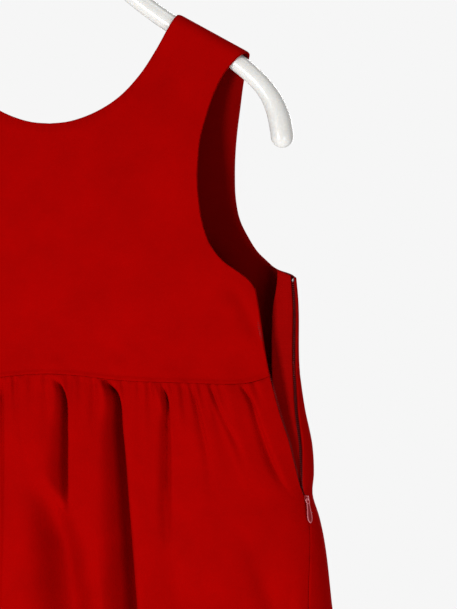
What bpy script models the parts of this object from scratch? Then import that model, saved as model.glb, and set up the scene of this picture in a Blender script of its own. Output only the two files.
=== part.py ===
"""A girl's sleeveless party dress with a high waist seam and a gathered skirt, on a plain white hanger.

The side zip on +X is open from the armhole down to its slider. Metres, +Z up, the front faces -Y.
The origin is the point inside the hook's crown where a rail carries it.

Garment sizes are in millimetres, as a dressmaker takes them: x across from the centre line, drop down
from the high point of the shoulder, and angle round the body from the centre of the front or the back
to the side (90 degrees), and past it.
"""

import math

import bmesh
import bpy
import numpy as np
from mathutils import Matrix, Vector

MM = 0.001
FRONT, BACK = -1, 1
LEFT, RIGHT = -1, 1

# Driving sizes
HIGH_POINT_Z = -135.3
DRESS_LENGTH = 700.0
CLOTH = 1.6
SEAM_GAP = 0.3
HANGER_RADIUS = 7.0
HOOK_RADIUS = 4.0
HOOK_OPENING_RADIUS = 18.0
FRONT_TAPE_WIDTH, BACK_TAPE_WIDTH = 12.0, 15.0
TAPE_THICKNESS = 1.0
FRONT_TAPE_START, BACK_TAPE_START, TAPE_END = 209.0, 202.0, 372.0

# The strap is rolled over the hanger's arm, with room for the shoulder seam's turned edges
SHOULDER_EASE = 0.3
ROLL_RADIUS = HANGER_RADIUS + SEAM_GAP + CLOTH + SHOULDER_EASE
ROLLED_OUT = ROLL_RADIUS * (math.pi / 2 - 1)
NECK_POINT = np.array([97.5, 0.0])
SHOULDER_TIP = np.array([151.8, 30.2])
STRAP_ENDS_BELOW, BODY_STARTS_BELOW = 15.0, 95.0

# Level sections of the dress. drop, half width on the left, half width on the right, half depth
SECTIONS = np.array([
    [-10.0, 179.0, 187.4, 8.5],
    [84.0, 179.0, 187.4, 17.0],
    [196.0, 179.0, 187.4, 24.4],
    [216.0, 179.2, 189.2, 25.5],
    [277.0, 181.0, 190.8, 28.5],
    [300.0, 184.0, 194.2, 33.0],
    [330.0, 188.5, 200.2, 36.5],
    [350.0, 192.0, 201.2, 38.5],
    [366.0, 194.5, 200.2, 40.0],
    [382.0, 197.0, 205.0, 41.5],
    [457.0, 208.0, 215.4, 49.0],
    [700.0, 246.0, 248.0, 72.0],
])

# The two edges of the open zip, closing at its slider. drop, angle of the front's edge, angle of the back's edge
ZIP_EDGES = np.array([
    [190.0, 48.6, 104.5],
    [240.0, 52.2, 106.0],
    [277.0, 55.8, 106.8],
    [320.0, 60.2, 110.8],
    [345.0, 63.9, 111.5],
    [364.0, 67.3, 109.2],
    [375.0, 69.2, 110.8],
    [400.0, 69.0, 111.0],
    [700.0, 68.5, 111.5],
])

# How high the waist seam sits. angle from the centre, drop
FRONT_WAIST = np.array([
    [-90.0, 274.0],
    [-60.0, 276.5],
    [-40.0, 281.2],
    [-23.0, 280.2],
    [-16.0, 279.0],
    [-8.0, 276.0],
    [0.0, 274.5],
    [8.0, 276.0],
    [16.0, 279.0],
    [23.0, 280.2],
    [32.0, 281.0],
    [40.0, 281.8],
    [46.0, 280.2],
    [51.0, 275.2],
    [56.0, 270.4],
])
BACK_WAIST = np.array([
    [-90.0, 274.0],
    [-60.0, 276.5],
    [-30.0, 278.5],
    [0.0, 277.0],
    [40.0, 278.5],
    [64.0, 276.5],
    [90.0, 274.5],
    [120.0, 275.0],
])

# Cut edges of the bodice, from the shoulder seam on. x, drop
FRONT_NECKLINE = [(91.0, 10.0), (80.6, 28.5), (68.6, 47.0), (51.0, 65.5), (31.0, 77.0), (13.0, 82.4), (0.0, 83.5)]
BACK_NECKLINE = [(91.0, 11.0), (80.6, 31.0), (69.0, 50.0), (52.0, 69.0), (32.0, 81.0), (13.5, 86.8), (0.0, 88.0)]
FRONT_ARMHOLE = [(139.5, 36.4), (132.0, 46.7), (126.6, 60.6), (120.4, 79.1), (116.1, 97.6), (114.9, 114.0),
                 (114.7, 130.2), (116.3, 146.0), (119.0, 161.0), (124.0, 175.0), (133.5, 188.0), (146.5, 197.4)]
BACK_ARMHOLE = [(148.6, 40.0), (146.4, 52.0), (143.6, 72.0), (141.0, 90.0), (139.2, 108.0), (138.6, 124.0),
                (139.2, 141.0), (142.4, 157.0), (148.8, 170.0), (156.0, 181.0), (164.5, 189.2)]
# A curve halfway across half a panel, from the shoulder to the centre: which rows of the grid, then x and drop
MIDDLE_ROWS = [4, 7, 11, 14, 17, 21, 27, 33]
FRONT_MIDDLE = [(99.0, 66.0), (92.0, 128.0), (98.0, 193.0), (100.0, 216.0), (90.0, 242.0), (52.0, 240.0), (0.0, 212.0)]
BACK_MIDDLE = [(110.0, 68.0), (104.0, 130.0), (105.0, 195.0), (104.0, 221.0), (92.0, 246.0), (52.0, 243.0), (0.0, 215.0)]
UNDERARM = {(FRONT, RIGHT): 207.0, (BACK, RIGHT): 200.0, (FRONT, LEFT): 203.0, (BACK, LEFT): 203.0}

# The skirt's gathers: small ridges under the waist seam, uneven in pitch, height and length
GATHERS = 26
GATHER_HEIGHT = 2.4
GATHER_LENGTH = 34.0

# Large folds, as valleys in the skirt. x and drop where each starts, passes and ends; how wide its left
# and right slopes are; how deep it is
FRONT_FOLDS = [
    (6, 279, 12, 325, 13, 376, 12, 6, 11),
    (-12, 356, 3, 425, 22, 740, 15, 10, 12),
    (44, 279, 55, 355, 90, 740, 12, 6, 14),
    (87, 281, 88, 330, 92, 420, 9, 6, 7),
    (104, 400, 112, 490, 134, 740, 15, 13, 9),
    (112, 284, 121, 340, 131, 400, 8, 6, 3),
    (123, 285, 138, 322, 152, 356, 7, 6, 4),
    (141, 282, 163, 325, 186, 368, 9, 7, 7),
    (143, 384, 166, 430, 192, 740, 20, 16, 9),
    (-34, 280, -37, 330, -40, 385, 8, 7, 5),
    (-58, 280, -64, 360, -82, 740, 7, 13, 13),
    (-98, 281, -103, 340, -110, 430, 7, 9, 7),
    (-118, 330, -126, 440, -148, 740, 13, 15, 11),
    (-136, 282, -148, 330, -162, 390, 8, 8, 5),
    (-168, 350, -180, 460, -206, 740, 13, 12, 8),
]
BACK_FOLDS = [
    (-4, 280, -8, 350, -18, 740, 7, 12, 12),
    (38, 280, 44, 335, 50, 410, 8, 9, 7),
    (72, 280, 80, 370, 104, 740, 13, 7, 13),
    (118, 281, 126, 340, 138, 430, 8, 7, 6),
    (134, 345, 146, 450, 176, 740, 14, 14, 11),
    (30, 400, 36, 500, 46, 740, 15, 13, 9),
    (-52, 280, -58, 340, -66, 420, 9, 7, 7),
    (-86, 280, -96, 380, -118, 740, 7, 13, 13),
    (-128, 281, -138, 335, -150, 400, 7, 8, 6),
    (-150, 360, -164, 460, -190, 740, 14, 13, 9),
]
FOLD_FADE = 26.0
FOLD_WIDENS = 1.1
FOLDS_CLEAR_OF_SEAM = 16.0

# The hanger's arm, from the middle out to its rounded tip. x, height below the origin
HANGER_ARM = [(0.0, -75.5), (20.0, -86.5), (44.0, -105.0), (70.0, -127.0), (93.0, -143.3), (107.0, -151.1),
              (121.0, -158.9), (135.0, -166.7), (145.0, -173.8), (154.4, -181.2), (163.6, -190.2), (170.6, -201.0),
              (175.2, -214.0), (178.0, -227.0), (179.2, -235.5)]

# The zip's slider, and the tab that swings on it
SLIDER_DROP = 368.5
TAB_LENGTH = 19.0
TAB_WIDTH = 4.8
TAB_THICKNESS = 1.2

# Which way the back's tape stands, seen from above. drop, degrees round from +X
TAPE_HEADING = np.array([
    [200.0, 158.0],
    [235.0, 174.0],
    [277.0, 176.0],
    [320.0, 150.0],
    [400.0, 125.0],
])

# Colours
RED_CLOTH = (0.376, 0.004, 0.003, 1.0)
ZIP_RED = (0.34, 0.006, 0.006, 1.0)
ENAMELLED_METAL = (0.55, 0.09, 0.1, 1.0)
WHITE_PLASTIC = (0.84, 0.83, 0.81, 1.0)


def smooth(x, xs, ys):
    """A smooth curve through the points (xs, ys), read at x."""
    xs = np.asarray(xs, float)
    ys = np.asarray(ys, float)
    slopes = np.gradient(ys, xs)
    x = np.clip(x, xs[0], xs[-1])
    i = np.clip(np.searchsorted(xs, x, side="right") - 1, 0, len(xs) - 2)
    step = xs[i + 1] - xs[i]
    t = (x - xs[i]) / step
    held = ys[i] * (1 + 2 * t) * (1 - t) ** 2 + ys[i + 1] * t * t * (3 - 2 * t)
    bent = slopes[i] * t * (1 - t) ** 2 - slopes[i + 1] * t * t * (1 - t)
    return held + step * bent


def eased(x, low, high):
    """0 below low, 1 above high, and a smooth step between."""
    t = np.clip((x - low) / (high - low), 0.0, 1.0)
    return t * t * (3 - 2 * t)


def section(angle, drop):
    """Half width and half depth of the level section at this drop, on this side."""
    left = smooth(drop, SECTIONS[:, 0], SECTIONS[:, 1])
    right = smooth(drop, SECTIONS[:, 0], SECTIONS[:, 2])
    deep = smooth(drop, SECTIONS[:, 0], SECTIONS[:, 3])
    return np.where(angle < 0, left, right), deep


def on_section(angle, drop):
    """The point at this angle on |x/wide|^4 + |y/deep|^2 = 1, and the outward direction there."""
    wide, deep = section(angle, drop)
    s, c = np.sin(angle), np.cos(angle)
    reach = np.sqrt(2 / (c**2 + np.sqrt(c**4 + 4 * s**4)))
    out_x, out_y = 4 * (reach * s) ** 3 / wide, 2 * reach * c / deep
    size = np.hypot(out_x, out_y)
    return wide * reach * s, deep * reach * c, out_x / size, out_y / size


def angle_at(x, drop):
    """The angle of the point of the front or back that lies x from the centre line."""
    wide, _ = section(np.asarray(x, float), drop)
    part = np.clip(x / wide, -1, 1)
    return np.arctan2(part, np.sqrt(1 - part**4))


SHOULDER_RUN = (SHOULDER_TIP - NECK_POINT) / np.linalg.norm(SHOULDER_TIP - NECK_POINT)
DOWN_THE_STRAP = np.array([-SHOULDER_RUN[1], SHOULDER_RUN[0]])


def body(angle, drop, side, pushed=0.0):
    """The dress's outer face at an angle and a drop, rolled over the hanger at the shoulder, in mm."""
    x, y, out_x, out_y = on_section(angle, drop)
    x = x + pushed * out_x
    y = y + pushed * out_y
    start = NECK_POINT - ROLLED_OUT * DOWN_THE_STRAP
    below = (np.abs(x) - start[0]) * DOWN_THE_STRAP[0] + (drop - start[1]) * DOWN_THE_STRAP[1]
    turn = np.minimum(below / ROLL_RADIUS, math.pi / 2)
    strap = 1 - eased(below, STRAP_ENDS_BELOW, BODY_STARTS_BELOW)
    y = strap * ROLL_RADIUS * np.sin(turn) + (1 - strap) * y
    rolled = ROLL_RADIUS * (1 - np.cos(turn)) + ROLLED_OUT - ROLL_RADIUS * turn
    rolled = np.where(turn < math.pi / 2, rolled, 0.0)
    x = x + np.sign(x) * DOWN_THE_STRAP[0] * rolled
    z = HIGH_POINT_Z - drop - DOWN_THE_STRAP[1] * rolled
    return np.stack(np.broadcast_arrays(x, side * y, z), axis=-1)


def outward(surface, a, b, side, step_a, step_b):
    """The unit direction out of a surface given by two coordinates, the first left to right, the second down."""
    along_a = surface(a + step_a, b) - surface(a - step_a, b)
    along_b = surface(a, b + step_b) - surface(a, b - step_b)
    out = side * np.cross(along_a, along_b)
    return out / np.linalg.norm(out, axis=-1, keepdims=True)


def levelled(out):
    """The outward directions without their rise, so that a cut edge is level through the cloth."""
    out = out * np.array([1.0, 1.0, 0.0])
    return out / np.linalg.norm(out, axis=-1, keepdims=True)


def wall(name, outer, inner, material):
    """A closed wall of cloth between two grids of points, in mm."""
    rows, columns = outer.shape[:2]
    mesh = bpy.data.meshes.new(name)
    shell = bmesh.new()
    faces = []
    for grid in (outer, inner):
        faces.append([[shell.verts.new(Vector(p) * MM) for p in row] for row in grid])
    out, back = faces
    for i in range(rows - 1):
        for j in range(columns - 1):
            shell.faces.new((out[i][j], out[i][j + 1], out[i + 1][j + 1], out[i + 1][j]))
            shell.faces.new((back[i][j], back[i + 1][j], back[i + 1][j + 1], back[i][j + 1]))
    edge = [(i, 0) for i in range(rows)] + [(rows - 1, j) for j in range(1, columns)]
    edge += [(i, columns - 1) for i in range(rows - 2, -1, -1)] + [(0, j) for j in range(columns - 2, 0, -1)]
    for (i, j), (k, m) in zip(edge, edge[1:] + edge[:1]):
        shell.faces.new((out[i][j], out[k][m], back[k][m], back[i][j]))
    bmesh.ops.recalc_face_normals(shell, faces=shell.faces)
    shell.to_mesh(mesh)
    shell.free()
    mesh.shade_smooth()
    mesh.set_sharp_from_angle(angle=math.radians(50))
    return placed(name, mesh, material)


def zip_edge(drop, side):
    """The angle of the front's or the back's edge at the zip."""
    return np.radians(smooth(drop, ZIP_EDGES[:, 0], ZIP_EDGES[:, 1 if side == FRONT else 2]))


def hem_angles(side, hand):
    """The angles of the points along the waist seam, from the panel's side edge to the centre."""
    return np.linspace(side_edge(np.array([277.0]), side, hand)[0], 0, WAIST_STEPS + 1)


def waist(angle, side):
    """The drop of the waist seam at this angle, straight between the points of the bodice's edge."""
    at = np.concatenate([hem_angles(side, LEFT), hem_angles(side, RIGHT)[-2::-1]])
    line = FRONT_WAIST if side == FRONT else BACK_WAIST
    return np.interp(angle, at, smooth(np.degrees(at), line[:, 0], line[:, 1]))


def trimmed(angle, drop, side):
    """An edge's angle, moved in by half of the seam's gap."""
    ahead = body(angle + 0.001, drop, side) - body(angle, drop, side)
    return angle - np.sign(angle) * SEAM_GAP / 2 * 0.001 / np.linalg.norm(ahead, axis=-1)


def side_edge(drop, side, hand):
    """The angle of the panel's side edge: the closed seam on the left, the zip on the right."""
    if hand == RIGHT:
        return trimmed(zip_edge(drop, side), drop, side)
    return trimmed(np.full_like(drop, -math.pi / 2), drop, side)


def along(points, lengths):
    """Points at these shares of the way along a smooth curve through the points given."""
    points = np.asarray(points, float)
    way = np.concatenate([[0], np.cumsum(np.linalg.norm(np.diff(points, axis=0), axis=1))])
    return np.stack([smooth(np.asarray(lengths) * way[-1], way, points[:, k]) for k in (0, 1)], axis=-1), way[-1]


ROLL_STEPS = 4
ARMHOLE_STEPS = 17
UNDERARM_STEPS = 3
SIDE_STEPS = 4
WAIST_STEPS = 12
ACROSS_INNER, ACROSS_OUTER = 3, 5


def from_the_shoulder(start, points, rows):
    """A cut edge in (x, drop), with its first steps on the strap's roll over the hanger."""
    start = np.asarray(start) - ROLLED_OUT * DOWN_THE_STRAP
    points = [start] + [np.array(p) for p in points]
    _, length = along(points, [0])
    roll = ROLL_RADIUS * math.pi / 2
    first = SEAM_GAP / 2 + (roll - SEAM_GAP / 2) * np.arange(ROLL_STEPS) / ROLL_STEPS
    return along(points, np.concatenate([first, roll + (length - roll) * rows]) / length)[0]


def in_angles(points, hand):
    """Points in (x, drop) turned to (angle, drop), on one hand."""
    return np.stack([angle_at(hand * points[:, 0], points[:, 1]), points[:, 1]], axis=-1)


def outer_edge(side, hand):
    """The outer cut edge of half a bodice panel, in (angle, drop): armhole, side and waist."""
    armhole = FRONT_ARMHOLE if side == FRONT else BACK_ARMHOLE
    rest = 1 - (1 - np.linspace(0, 1, ARMHOLE_STEPS + 1 - ROLL_STEPS - UNDERARM_STEPS)) ** 1.25
    cut = from_the_shoulder(SHOULDER_TIP, armhole, rest)
    cut = in_angles(cut, hand)
    corner = np.array([side_edge(np.array([UNDERARM[side, hand]]), side, hand)[0], UNDERARM[side, hand]])
    reach = np.linspace(0, 1, UNDERARM_STEPS + 1)[1:, None]
    under = cut[-1] + (corner - cut[-1]) * np.concatenate([reach, np.sin(reach * math.pi / 2) ** 0.7], axis=1)
    angles = hem_angles(side, hand)
    hem = np.stack([angles, waist(angles, side) - SEAM_GAP / 2], axis=-1)
    drops = np.linspace(corner[1], hem[0, 1], SIDE_STEPS + 1)[1:-1]
    sides = np.stack([side_edge(drops, side, hand), drops], axis=-1)
    return np.concatenate([cut, under, sides, hem])


def between(start, end, steps, by_x, bunched=1.0):
    """Points from start to end, both in (angle, drop), straight in x or straight in angle."""
    share = 1 - (1 - np.linspace(0, 1, steps + 1)[:, None]) ** bunched
    line = start * (1 - share) + end * share
    if by_x:
        ends = on_section(np.array([start[0], end[0]]), np.array([start[1], end[1]]))[0]
        line[:, 0] = angle_at(ends[0] * (1 - share[:, 0]) + ends[1] * share[:, 0], line[:, 1])
    return line


def half_bodice(side, hand):
    """Half a bodice panel as rows of points in (angle, drop), from the neckline out."""
    outer = outer_edge(side, hand)
    neckline = FRONT_NECKLINE if side == FRONT else BACK_NECKLINE
    rows = np.interp(np.arange(ROLL_STEPS, len(outer)), [ROLL_STEPS, ARMHOLE_STEPS, len(outer) - 1], [0, 0.6, 1])
    inner = in_angles(from_the_shoulder(NECK_POINT, neckline, rows), hand)
    strap = between(inner[ROLL_STEPS], outer[ROLL_STEPS], 2, True)[1]
    middle = in_angles(np.array(FRONT_MIDDLE if side == FRONT else BACK_MIDDLE), hand)
    middle = np.concatenate([[strap], middle])
    grid = []
    for row, (start, end) in enumerate(zip(inner, outer)):
        if row < ROLL_STEPS:
            half = between(start, end, 2, True)[1]
        else:
            half = np.array([smooth(row, MIDDLE_ROWS, middle[:, k]) for k in (0, 1)])
        out = between(half, end, ACROSS_OUTER, row < ARMHOLE_STEPS - UNDERARM_STEPS, 1.25)
        grid.append(np.concatenate([between(start, half, ACROSS_INNER, True), out[1:]]))
    return np.array(grid)


def bodice(name, side):
    """A bodice panel, both halves in one piece: from the neckline out to the armholes, sides and waist."""
    left, right = half_bodice(side, LEFT), half_bodice(side, RIGHT)
    grid = np.concatenate([left, right[-2::-1]])

    def face(angle, drop):
        return body(angle, drop, side)

    outer = face(grid[..., 0], grid[..., 1])
    out = outward(face, grid[..., 0], grid[..., 1], side, 0.002, 0.2)
    hem = slice(ARMHOLE_STEPS + SIDE_STEPS, len(grid) - ARMHOLE_STEPS - SIDE_STEPS)
    out[hem, -1] = levelled(out[hem, -1])
    return wall(name, outer, outer - CLOTH * out, cloth())


def gather_marks():
    """Where the gathers' valleys lie across a panel, as shares of its width."""
    k = np.arange(GATHERS + 1)
    marks = k + 0.24 * np.sin(2.4 * k) * (k > 0) * (k < GATHERS)
    return marks / GATHERS


def even_angles(side):
    """Angles that divide the panel's width at the waist evenly, and their shares."""
    edge = [side_edge(np.array([277.0]), side, hand)[0] for hand in (LEFT, RIGHT)]
    angles = np.linspace(edge[0], edge[1], 400)
    ring = body(angles, np.full(400, 277.0), side)
    way = np.concatenate([[0], np.cumsum(np.linalg.norm(np.diff(ring, axis=0), axis=1))])
    return way / way[-1], (angles - edge[0]) / (edge[1] - edge[0])


def folds(x, drop, rows):
    """How far the large folds push the cloth in at (x, drop)."""
    depth = np.zeros(np.broadcast(x, drop).shape)
    for x0, d0, x1, d1, x2, d2, left, right, deep in rows:
        lines = (
            x0 * (drop - d1) * (drop - d2) / ((d0 - d1) * (d0 - d2))
            + x1 * (drop - d0) * (drop - d2) / ((d1 - d0) * (d1 - d2))
            + x2 * (drop - d0) * (drop - d1) / ((d2 - d0) * (d2 - d1))
        )
        wider = 1 + FOLD_WIDENS * (drop - SECTIONS[3, 0]) / DRESS_LENGTH
        slope = np.where(x < lines, left, right) * wider
        strength = eased(drop, d0 - 2, d0 + FOLD_FADE) * (1 - eased(drop, d2 - FOLD_FADE, d2))
        depth = np.maximum(depth, deep * strength * np.exp(-(((x - lines) / slope) ** 2)))
    return depth


def gathers(count, drop_below):
    """How far the gathers raise the cloth, at a place counted in gathers and a drop below the seam."""
    which = np.floor(count)
    height = GATHER_HEIGHT * (0.75 + 0.35 * np.sin(1.7 * which + 0.6))
    length = GATHER_LENGTH * (1 + 0.55 * np.sin(2.9 * which + 1.1))
    held = 0.35 + 0.65 * eased(drop_below, 0.0, 7.0)
    at_the_sides = eased(count, 0, 1.5) * (1 - eased(count, GATHERS - 1.5, GATHERS))
    ridge = 0.5 - 0.5 * np.cos(2 * math.pi * count)
    return height * ridge * held * at_the_sides * np.exp(-((drop_below / length) ** 2))


def skirt_face(side):
    """The gathered skirt's outer face, by its place across, counted in gathers, and its drop."""
    share_of_way, share_of_angle = even_angles(side)
    rows = FRONT_FOLDS if side == FRONT else BACK_FOLDS
    marks = gather_marks()

    def face(count, drop):
        way = np.interp(count, np.arange(GATHERS + 1), marks)
        share = np.interp(way, share_of_way, share_of_angle)
        left, right = side_edge(drop, side, LEFT), side_edge(drop, side, RIGHT)
        angle = left + share * (right - left)
        x, y, _, _ = on_section(angle, drop)
        ends = [on_section(edge, drop) for edge in (left, right)]
        to_seam = np.minimum(*[np.hypot(x - e[0], y - e[1]) for e in ends])
        clear = eased(to_seam, FOLDS_CLEAR_OF_SEAM, 2 * FOLDS_CLEAR_OF_SEAM)
        seam = waist(angle, side) + SEAM_GAP / 2
        pushed = gathers(count, drop - seam) - clear * folds(x, drop, rows)
        return body(angle, np.maximum(drop, seam), side, pushed)

    return face


WAIST_DROP = 277.0
SKIRT_ROWS = [0.0, 3.0, 8.0, 16.0, 28.0, 42.0, 56.0, 68.0, 78.0, 88.0, 98.0, 120.0, 160.0, 225.0, 315.0, 423.0]
LEVEL_BELOW = 60.0
COLUMNS_PER_GATHER = 3


def skirt_drops(top):
    """The drops of the skirt's rows under a point of the waist seam: they follow it, then run level."""
    rows = np.array(SKIRT_ROWS)
    follow = 1 - eased(rows, 0, LEVEL_BELOW)
    return WAIST_DROP + rows[:, None] + (top - WAIST_DROP) * follow[:, None]


def skirt(name, side):
    """A skirt panel, from the waist seam to the hem."""
    face = skirt_face(side)
    count = np.linspace(0, GATHERS, GATHERS * COLUMNS_PER_GATHER + 1)
    share_of_way, share_of_angle = even_angles(side)
    way = np.interp(count, np.arange(GATHERS + 1), gather_marks())
    left, right = (side_edge(np.array([277.0]), side, hand)[0] for hand in (LEFT, RIGHT))
    top = waist(left + np.interp(way, share_of_way, share_of_angle) * (right - left), side) + SEAM_GAP / 2
    drop = skirt_drops(top[None, :])
    across = np.broadcast_to(count, drop.shape)
    outer = face(across, drop)
    out = outward(face, across, drop + 0.05, side, 0.02, 0.04)
    out[0] = levelled(out[0])
    return wall(name, outer, outer - CLOTH * out, cloth())


def in_from_zip(side, inward, drop):
    """The plain outer face at the zip and the way out of it, so many mm in from the panel's edge."""
    edge = zip_edge(drop, side)

    def face(angle, at):
        return body(angle, at, side)

    per_radian = np.linalg.norm(face(edge + 0.01, drop) - face(edge - 0.01, drop), axis=-1) / 0.02
    angle = edge - inward / per_radian
    return face(angle, drop), outward(face, angle, drop, side, 0.002, 0.2)


def tape_rows(start, side, end):
    """Drops down a tape: the same as the rows of the bodice's side edge and of the skirt beside it."""
    seam = float(waist(zip_edge(np.array(277.0), side), side))
    skirt_rows = skirt_drops(seam)[1:, 0]
    bodice_rows = np.linspace(start, seam, SIDE_STEPS + 2)
    return np.concatenate([bodice_rows, skirt_rows[skirt_rows < end - 2], [end]])[:, None]


def tape(name, middle):
    """A zip tape, half of its thickness to each side of a grid of points along its middle."""
    out = np.cross(np.gradient(middle, axis=0), np.gradient(middle, axis=1))
    out *= TAPE_THICKNESS / 2 / np.linalg.norm(out, axis=-1, keepdims=True)
    return wall(name, middle + out, middle - out, tape_cloth())


def front_tape():
    """The zip tape inside the front's edge: its coil shows just past the edge."""
    drop = tape_rows(FRONT_TAPE_START, FRONT, TAPE_END)
    share = np.linspace(1, 0, 4)
    past = 1.3 * (1 - eased(drop, 335.0, 358.0)) - 0.7
    inward = share * FRONT_TAPE_WIDTH - (1 - share) * past
    face, out = in_from_zip(FRONT, inward, drop + 0 * inward)
    inset = CLOTH + SEAM_GAP + TAPE_THICKNESS / 2 + 0.3 + 0.7 * share
    tape("zip_tape_front", face - inset[:, None] * out)


def back_tape():
    """The zip tape inside the back's edge: it stands free at the top and lies on the wall near the slider."""
    drop = tape_rows(BACK_TAPE_START, BACK, TAPE_END)
    share = np.linspace(0, 1, 6)
    inward = 0.7 + share * (BACK_TAPE_WIDTH - 0.7) + 0 * drop
    face, out = in_from_zip(BACK, inward, drop + 0 * inward)
    inset = CLOTH + SEAM_GAP + TAPE_THICKNESS / 2 + 0.4 + 0.6 * np.sin(share * math.pi)
    lying = face - inset[:, None] * out
    edge, edge_out = in_from_zip(BACK, np.full_like(drop, 0.7), drop)
    heading = np.radians(smooth(drop, TAPE_HEADING[:, 0], TAPE_HEADING[:, 1]))
    away = np.stack([np.cos(heading), np.sin(heading), 0 * heading], axis=-1)
    standing = edge - (inset[0] + 0.1) * edge_out + (inward - 0.7)[..., None] * away
    free = 1 - eased(drop, 275.0, 345.0)[..., None]
    tape("zip_tape_back", free * standing + (1 - free) * lying)


def slider_frame():
    """Where the slider sits: its place on the cloth and its axes, across the zip, out of the cloth and down."""
    drop = np.array(SLIDER_DROP)
    edges = [body(zip_edge(drop + d, side), drop + d, side) for d in (-6, 0, 12) for side in (FRONT, BACK)]
    place = (edges[2] + edges[3]) / 2
    down = (edges[4] + edges[5] - edges[0] - edges[1]) / 2
    across = edges[3] - edges[2]
    across[2] = 0
    across /= np.linalg.norm(across)
    down -= across * np.dot(down, across)
    down /= np.linalg.norm(down)
    out = np.cross(down, across)
    axes = Matrix([list(across), list(out), list(down)]).transposed()
    return Vector(place) * MM, axes


def placed(name, mesh, material):
    """Puts a finished mesh in the scene as one node."""
    node = bpy.data.objects.new(name, mesh)
    mesh.materials.append(material)
    PARTS.objects.link(node)
    return node


def block(low, high, rounded):
    """A box between two corners, with its edges rounded."""
    low, high = Vector(low), Vector(high)
    made = bmesh.new()
    bmesh.ops.create_cube(made, size=1.0)
    for vert in made.verts:
        vert.co = Vector(((low[k] + high[k]) / 2 + vert.co[k] * (high[k] - low[k]) for k in range(3)))
    bmesh.ops.bevel(made, geom=made.edges[:], offset=rounded, segments=2, profile=0.5, affect="EDGES")
    return made


def joined(name, pieces, matrix, material):
    """One solid from several that overlap, in the frame of the slider."""
    solids = []
    for k, piece in enumerate(pieces):
        mesh = bpy.data.meshes.new(f"{name}_{k}")
        piece.transform(Matrix.Scale(MM, 4))
        piece.to_mesh(mesh)
        piece.free()
        solids.append(bpy.data.objects.new(f"{name}_{k}", mesh))
        CUTTERS.objects.link(solids[-1])
        solids[-1].hide_render = True
        solids[-1].display_type = "WIRE"
    for other in solids[1:]:
        union = solids[0].modifiers.new(other.name, "BOOLEAN")
        union.operation = "UNION"
        union.object = other
    bpy.context.view_layer.update()
    mesh = bpy.data.meshes.new_from_object(solids[0].evaluated_get(bpy.context.evaluated_depsgraph_get()))
    mesh.name = name
    mesh.materials.clear()
    for solid in solids:
        bpy.data.objects.remove(solid)
    mesh.shade_smooth()
    mesh.set_sharp_from_angle(angle=math.radians(40))
    node = placed(name, mesh, material)
    node.matrix_world = matrix
    return node


PIVOT_HEIGHT = 3.0


def slider(matrix):
    """The slider: a plate outside the cloth with a bridge for the tab, and its body inside, on a thin neck."""
    plate = block((-2.1, 0.8, -5.6), (2.1, 1.8, 3.4), 0.35)
    neck = block((-0.4, -4.7, -5.0), (0.4, 1.3, -2.6), 0.12)
    inside = block((-2.4, -6.6, -5.8), (2.4, -4.3, 4.2), 0.5)
    top = block((-0.7, PIVOT_HEIGHT + 0.85, -2.6), (0.7, PIVOT_HEIGHT + 1.7, 2.2), 0.25)
    upper_post = block((-0.55, 1.2, -2.45), (0.55, PIVOT_HEIGHT + 1.3, -1.25), 0.2)
    lower_post = block((-0.55, 1.2, 1.05), (0.55, PIVOT_HEIGHT + 1.3, 2.05), 0.2)
    return joined("zip_slider", [plate, neck, inside, top, upper_post, lower_post], matrix, enamelled_metal())


def tab_outline(v):
    """Half the tab's width, v mm down from its pivot: an eye, then a long drop shape."""
    return np.interp(v, [3.4, 5.0, 9.0, 13.0, 16.0, 18.0, TAB_LENGTH], np.array([1.7, 1.75, 2.05, 2.4, 2.2, 1.4, 0.5]))


def pull_tab(matrix):
    """The tab: a bar through the slider's bridge, two short arms, and a drop-shaped grip with a raised rim."""
    bar = block((-1.75, PIVOT_HEIGHT - 0.5, -0.55), (1.75, PIVOT_HEIGHT + 0.5, 0.55), 0.2)
    arms = [block((s * 1.4 - 0.35, PIVOT_HEIGHT - 0.55, -0.5), (s * 1.4 + 0.35, PIVOT_HEIGHT + 0.55, 4.6), 0.2)
            for s in (-1, 1)]
    low, high = PIVOT_HEIGHT - TAB_THICKNESS / 2, PIVOT_HEIGHT + TAB_THICKNESS / 2
    grip = bmesh.new()
    rows = []
    for v in np.linspace(3.5, TAB_LENGTH, 12):
        half = float(tab_outline(v)) * TAB_WIDTH / 4.8
        rim = min(0.65, half * 0.5)
        hollow = 0.32 if 4.5 < v < TAB_LENGTH - 1.2 else 0.0
        ring = [(-half, low), (half, low), (half, high), (half - rim, high), (half - rim, high - hollow),
                (-half + rim, high - hollow), (-half + rim, high), (-half, high)]
        rows.append([grip.verts.new((x, n, v)) for x, n in ring])
    for upper, lower in zip(rows, rows[1:]):
        for k in range(len(upper)):
            m = (k + 1) % len(upper)
            grip.faces.new((upper[k], upper[m], lower[m], lower[k]))
    grip.faces.new(rows[0][::-1])
    grip.faces.new(rows[-1])
    bmesh.ops.remove_doubles(grip, verts=grip.verts, dist=1e-5)
    bmesh.ops.recalc_face_normals(grip, faces=grip.faces)
    return joined("zip_pull_tab", [grip, bar] + arms, matrix, enamelled_metal())


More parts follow.
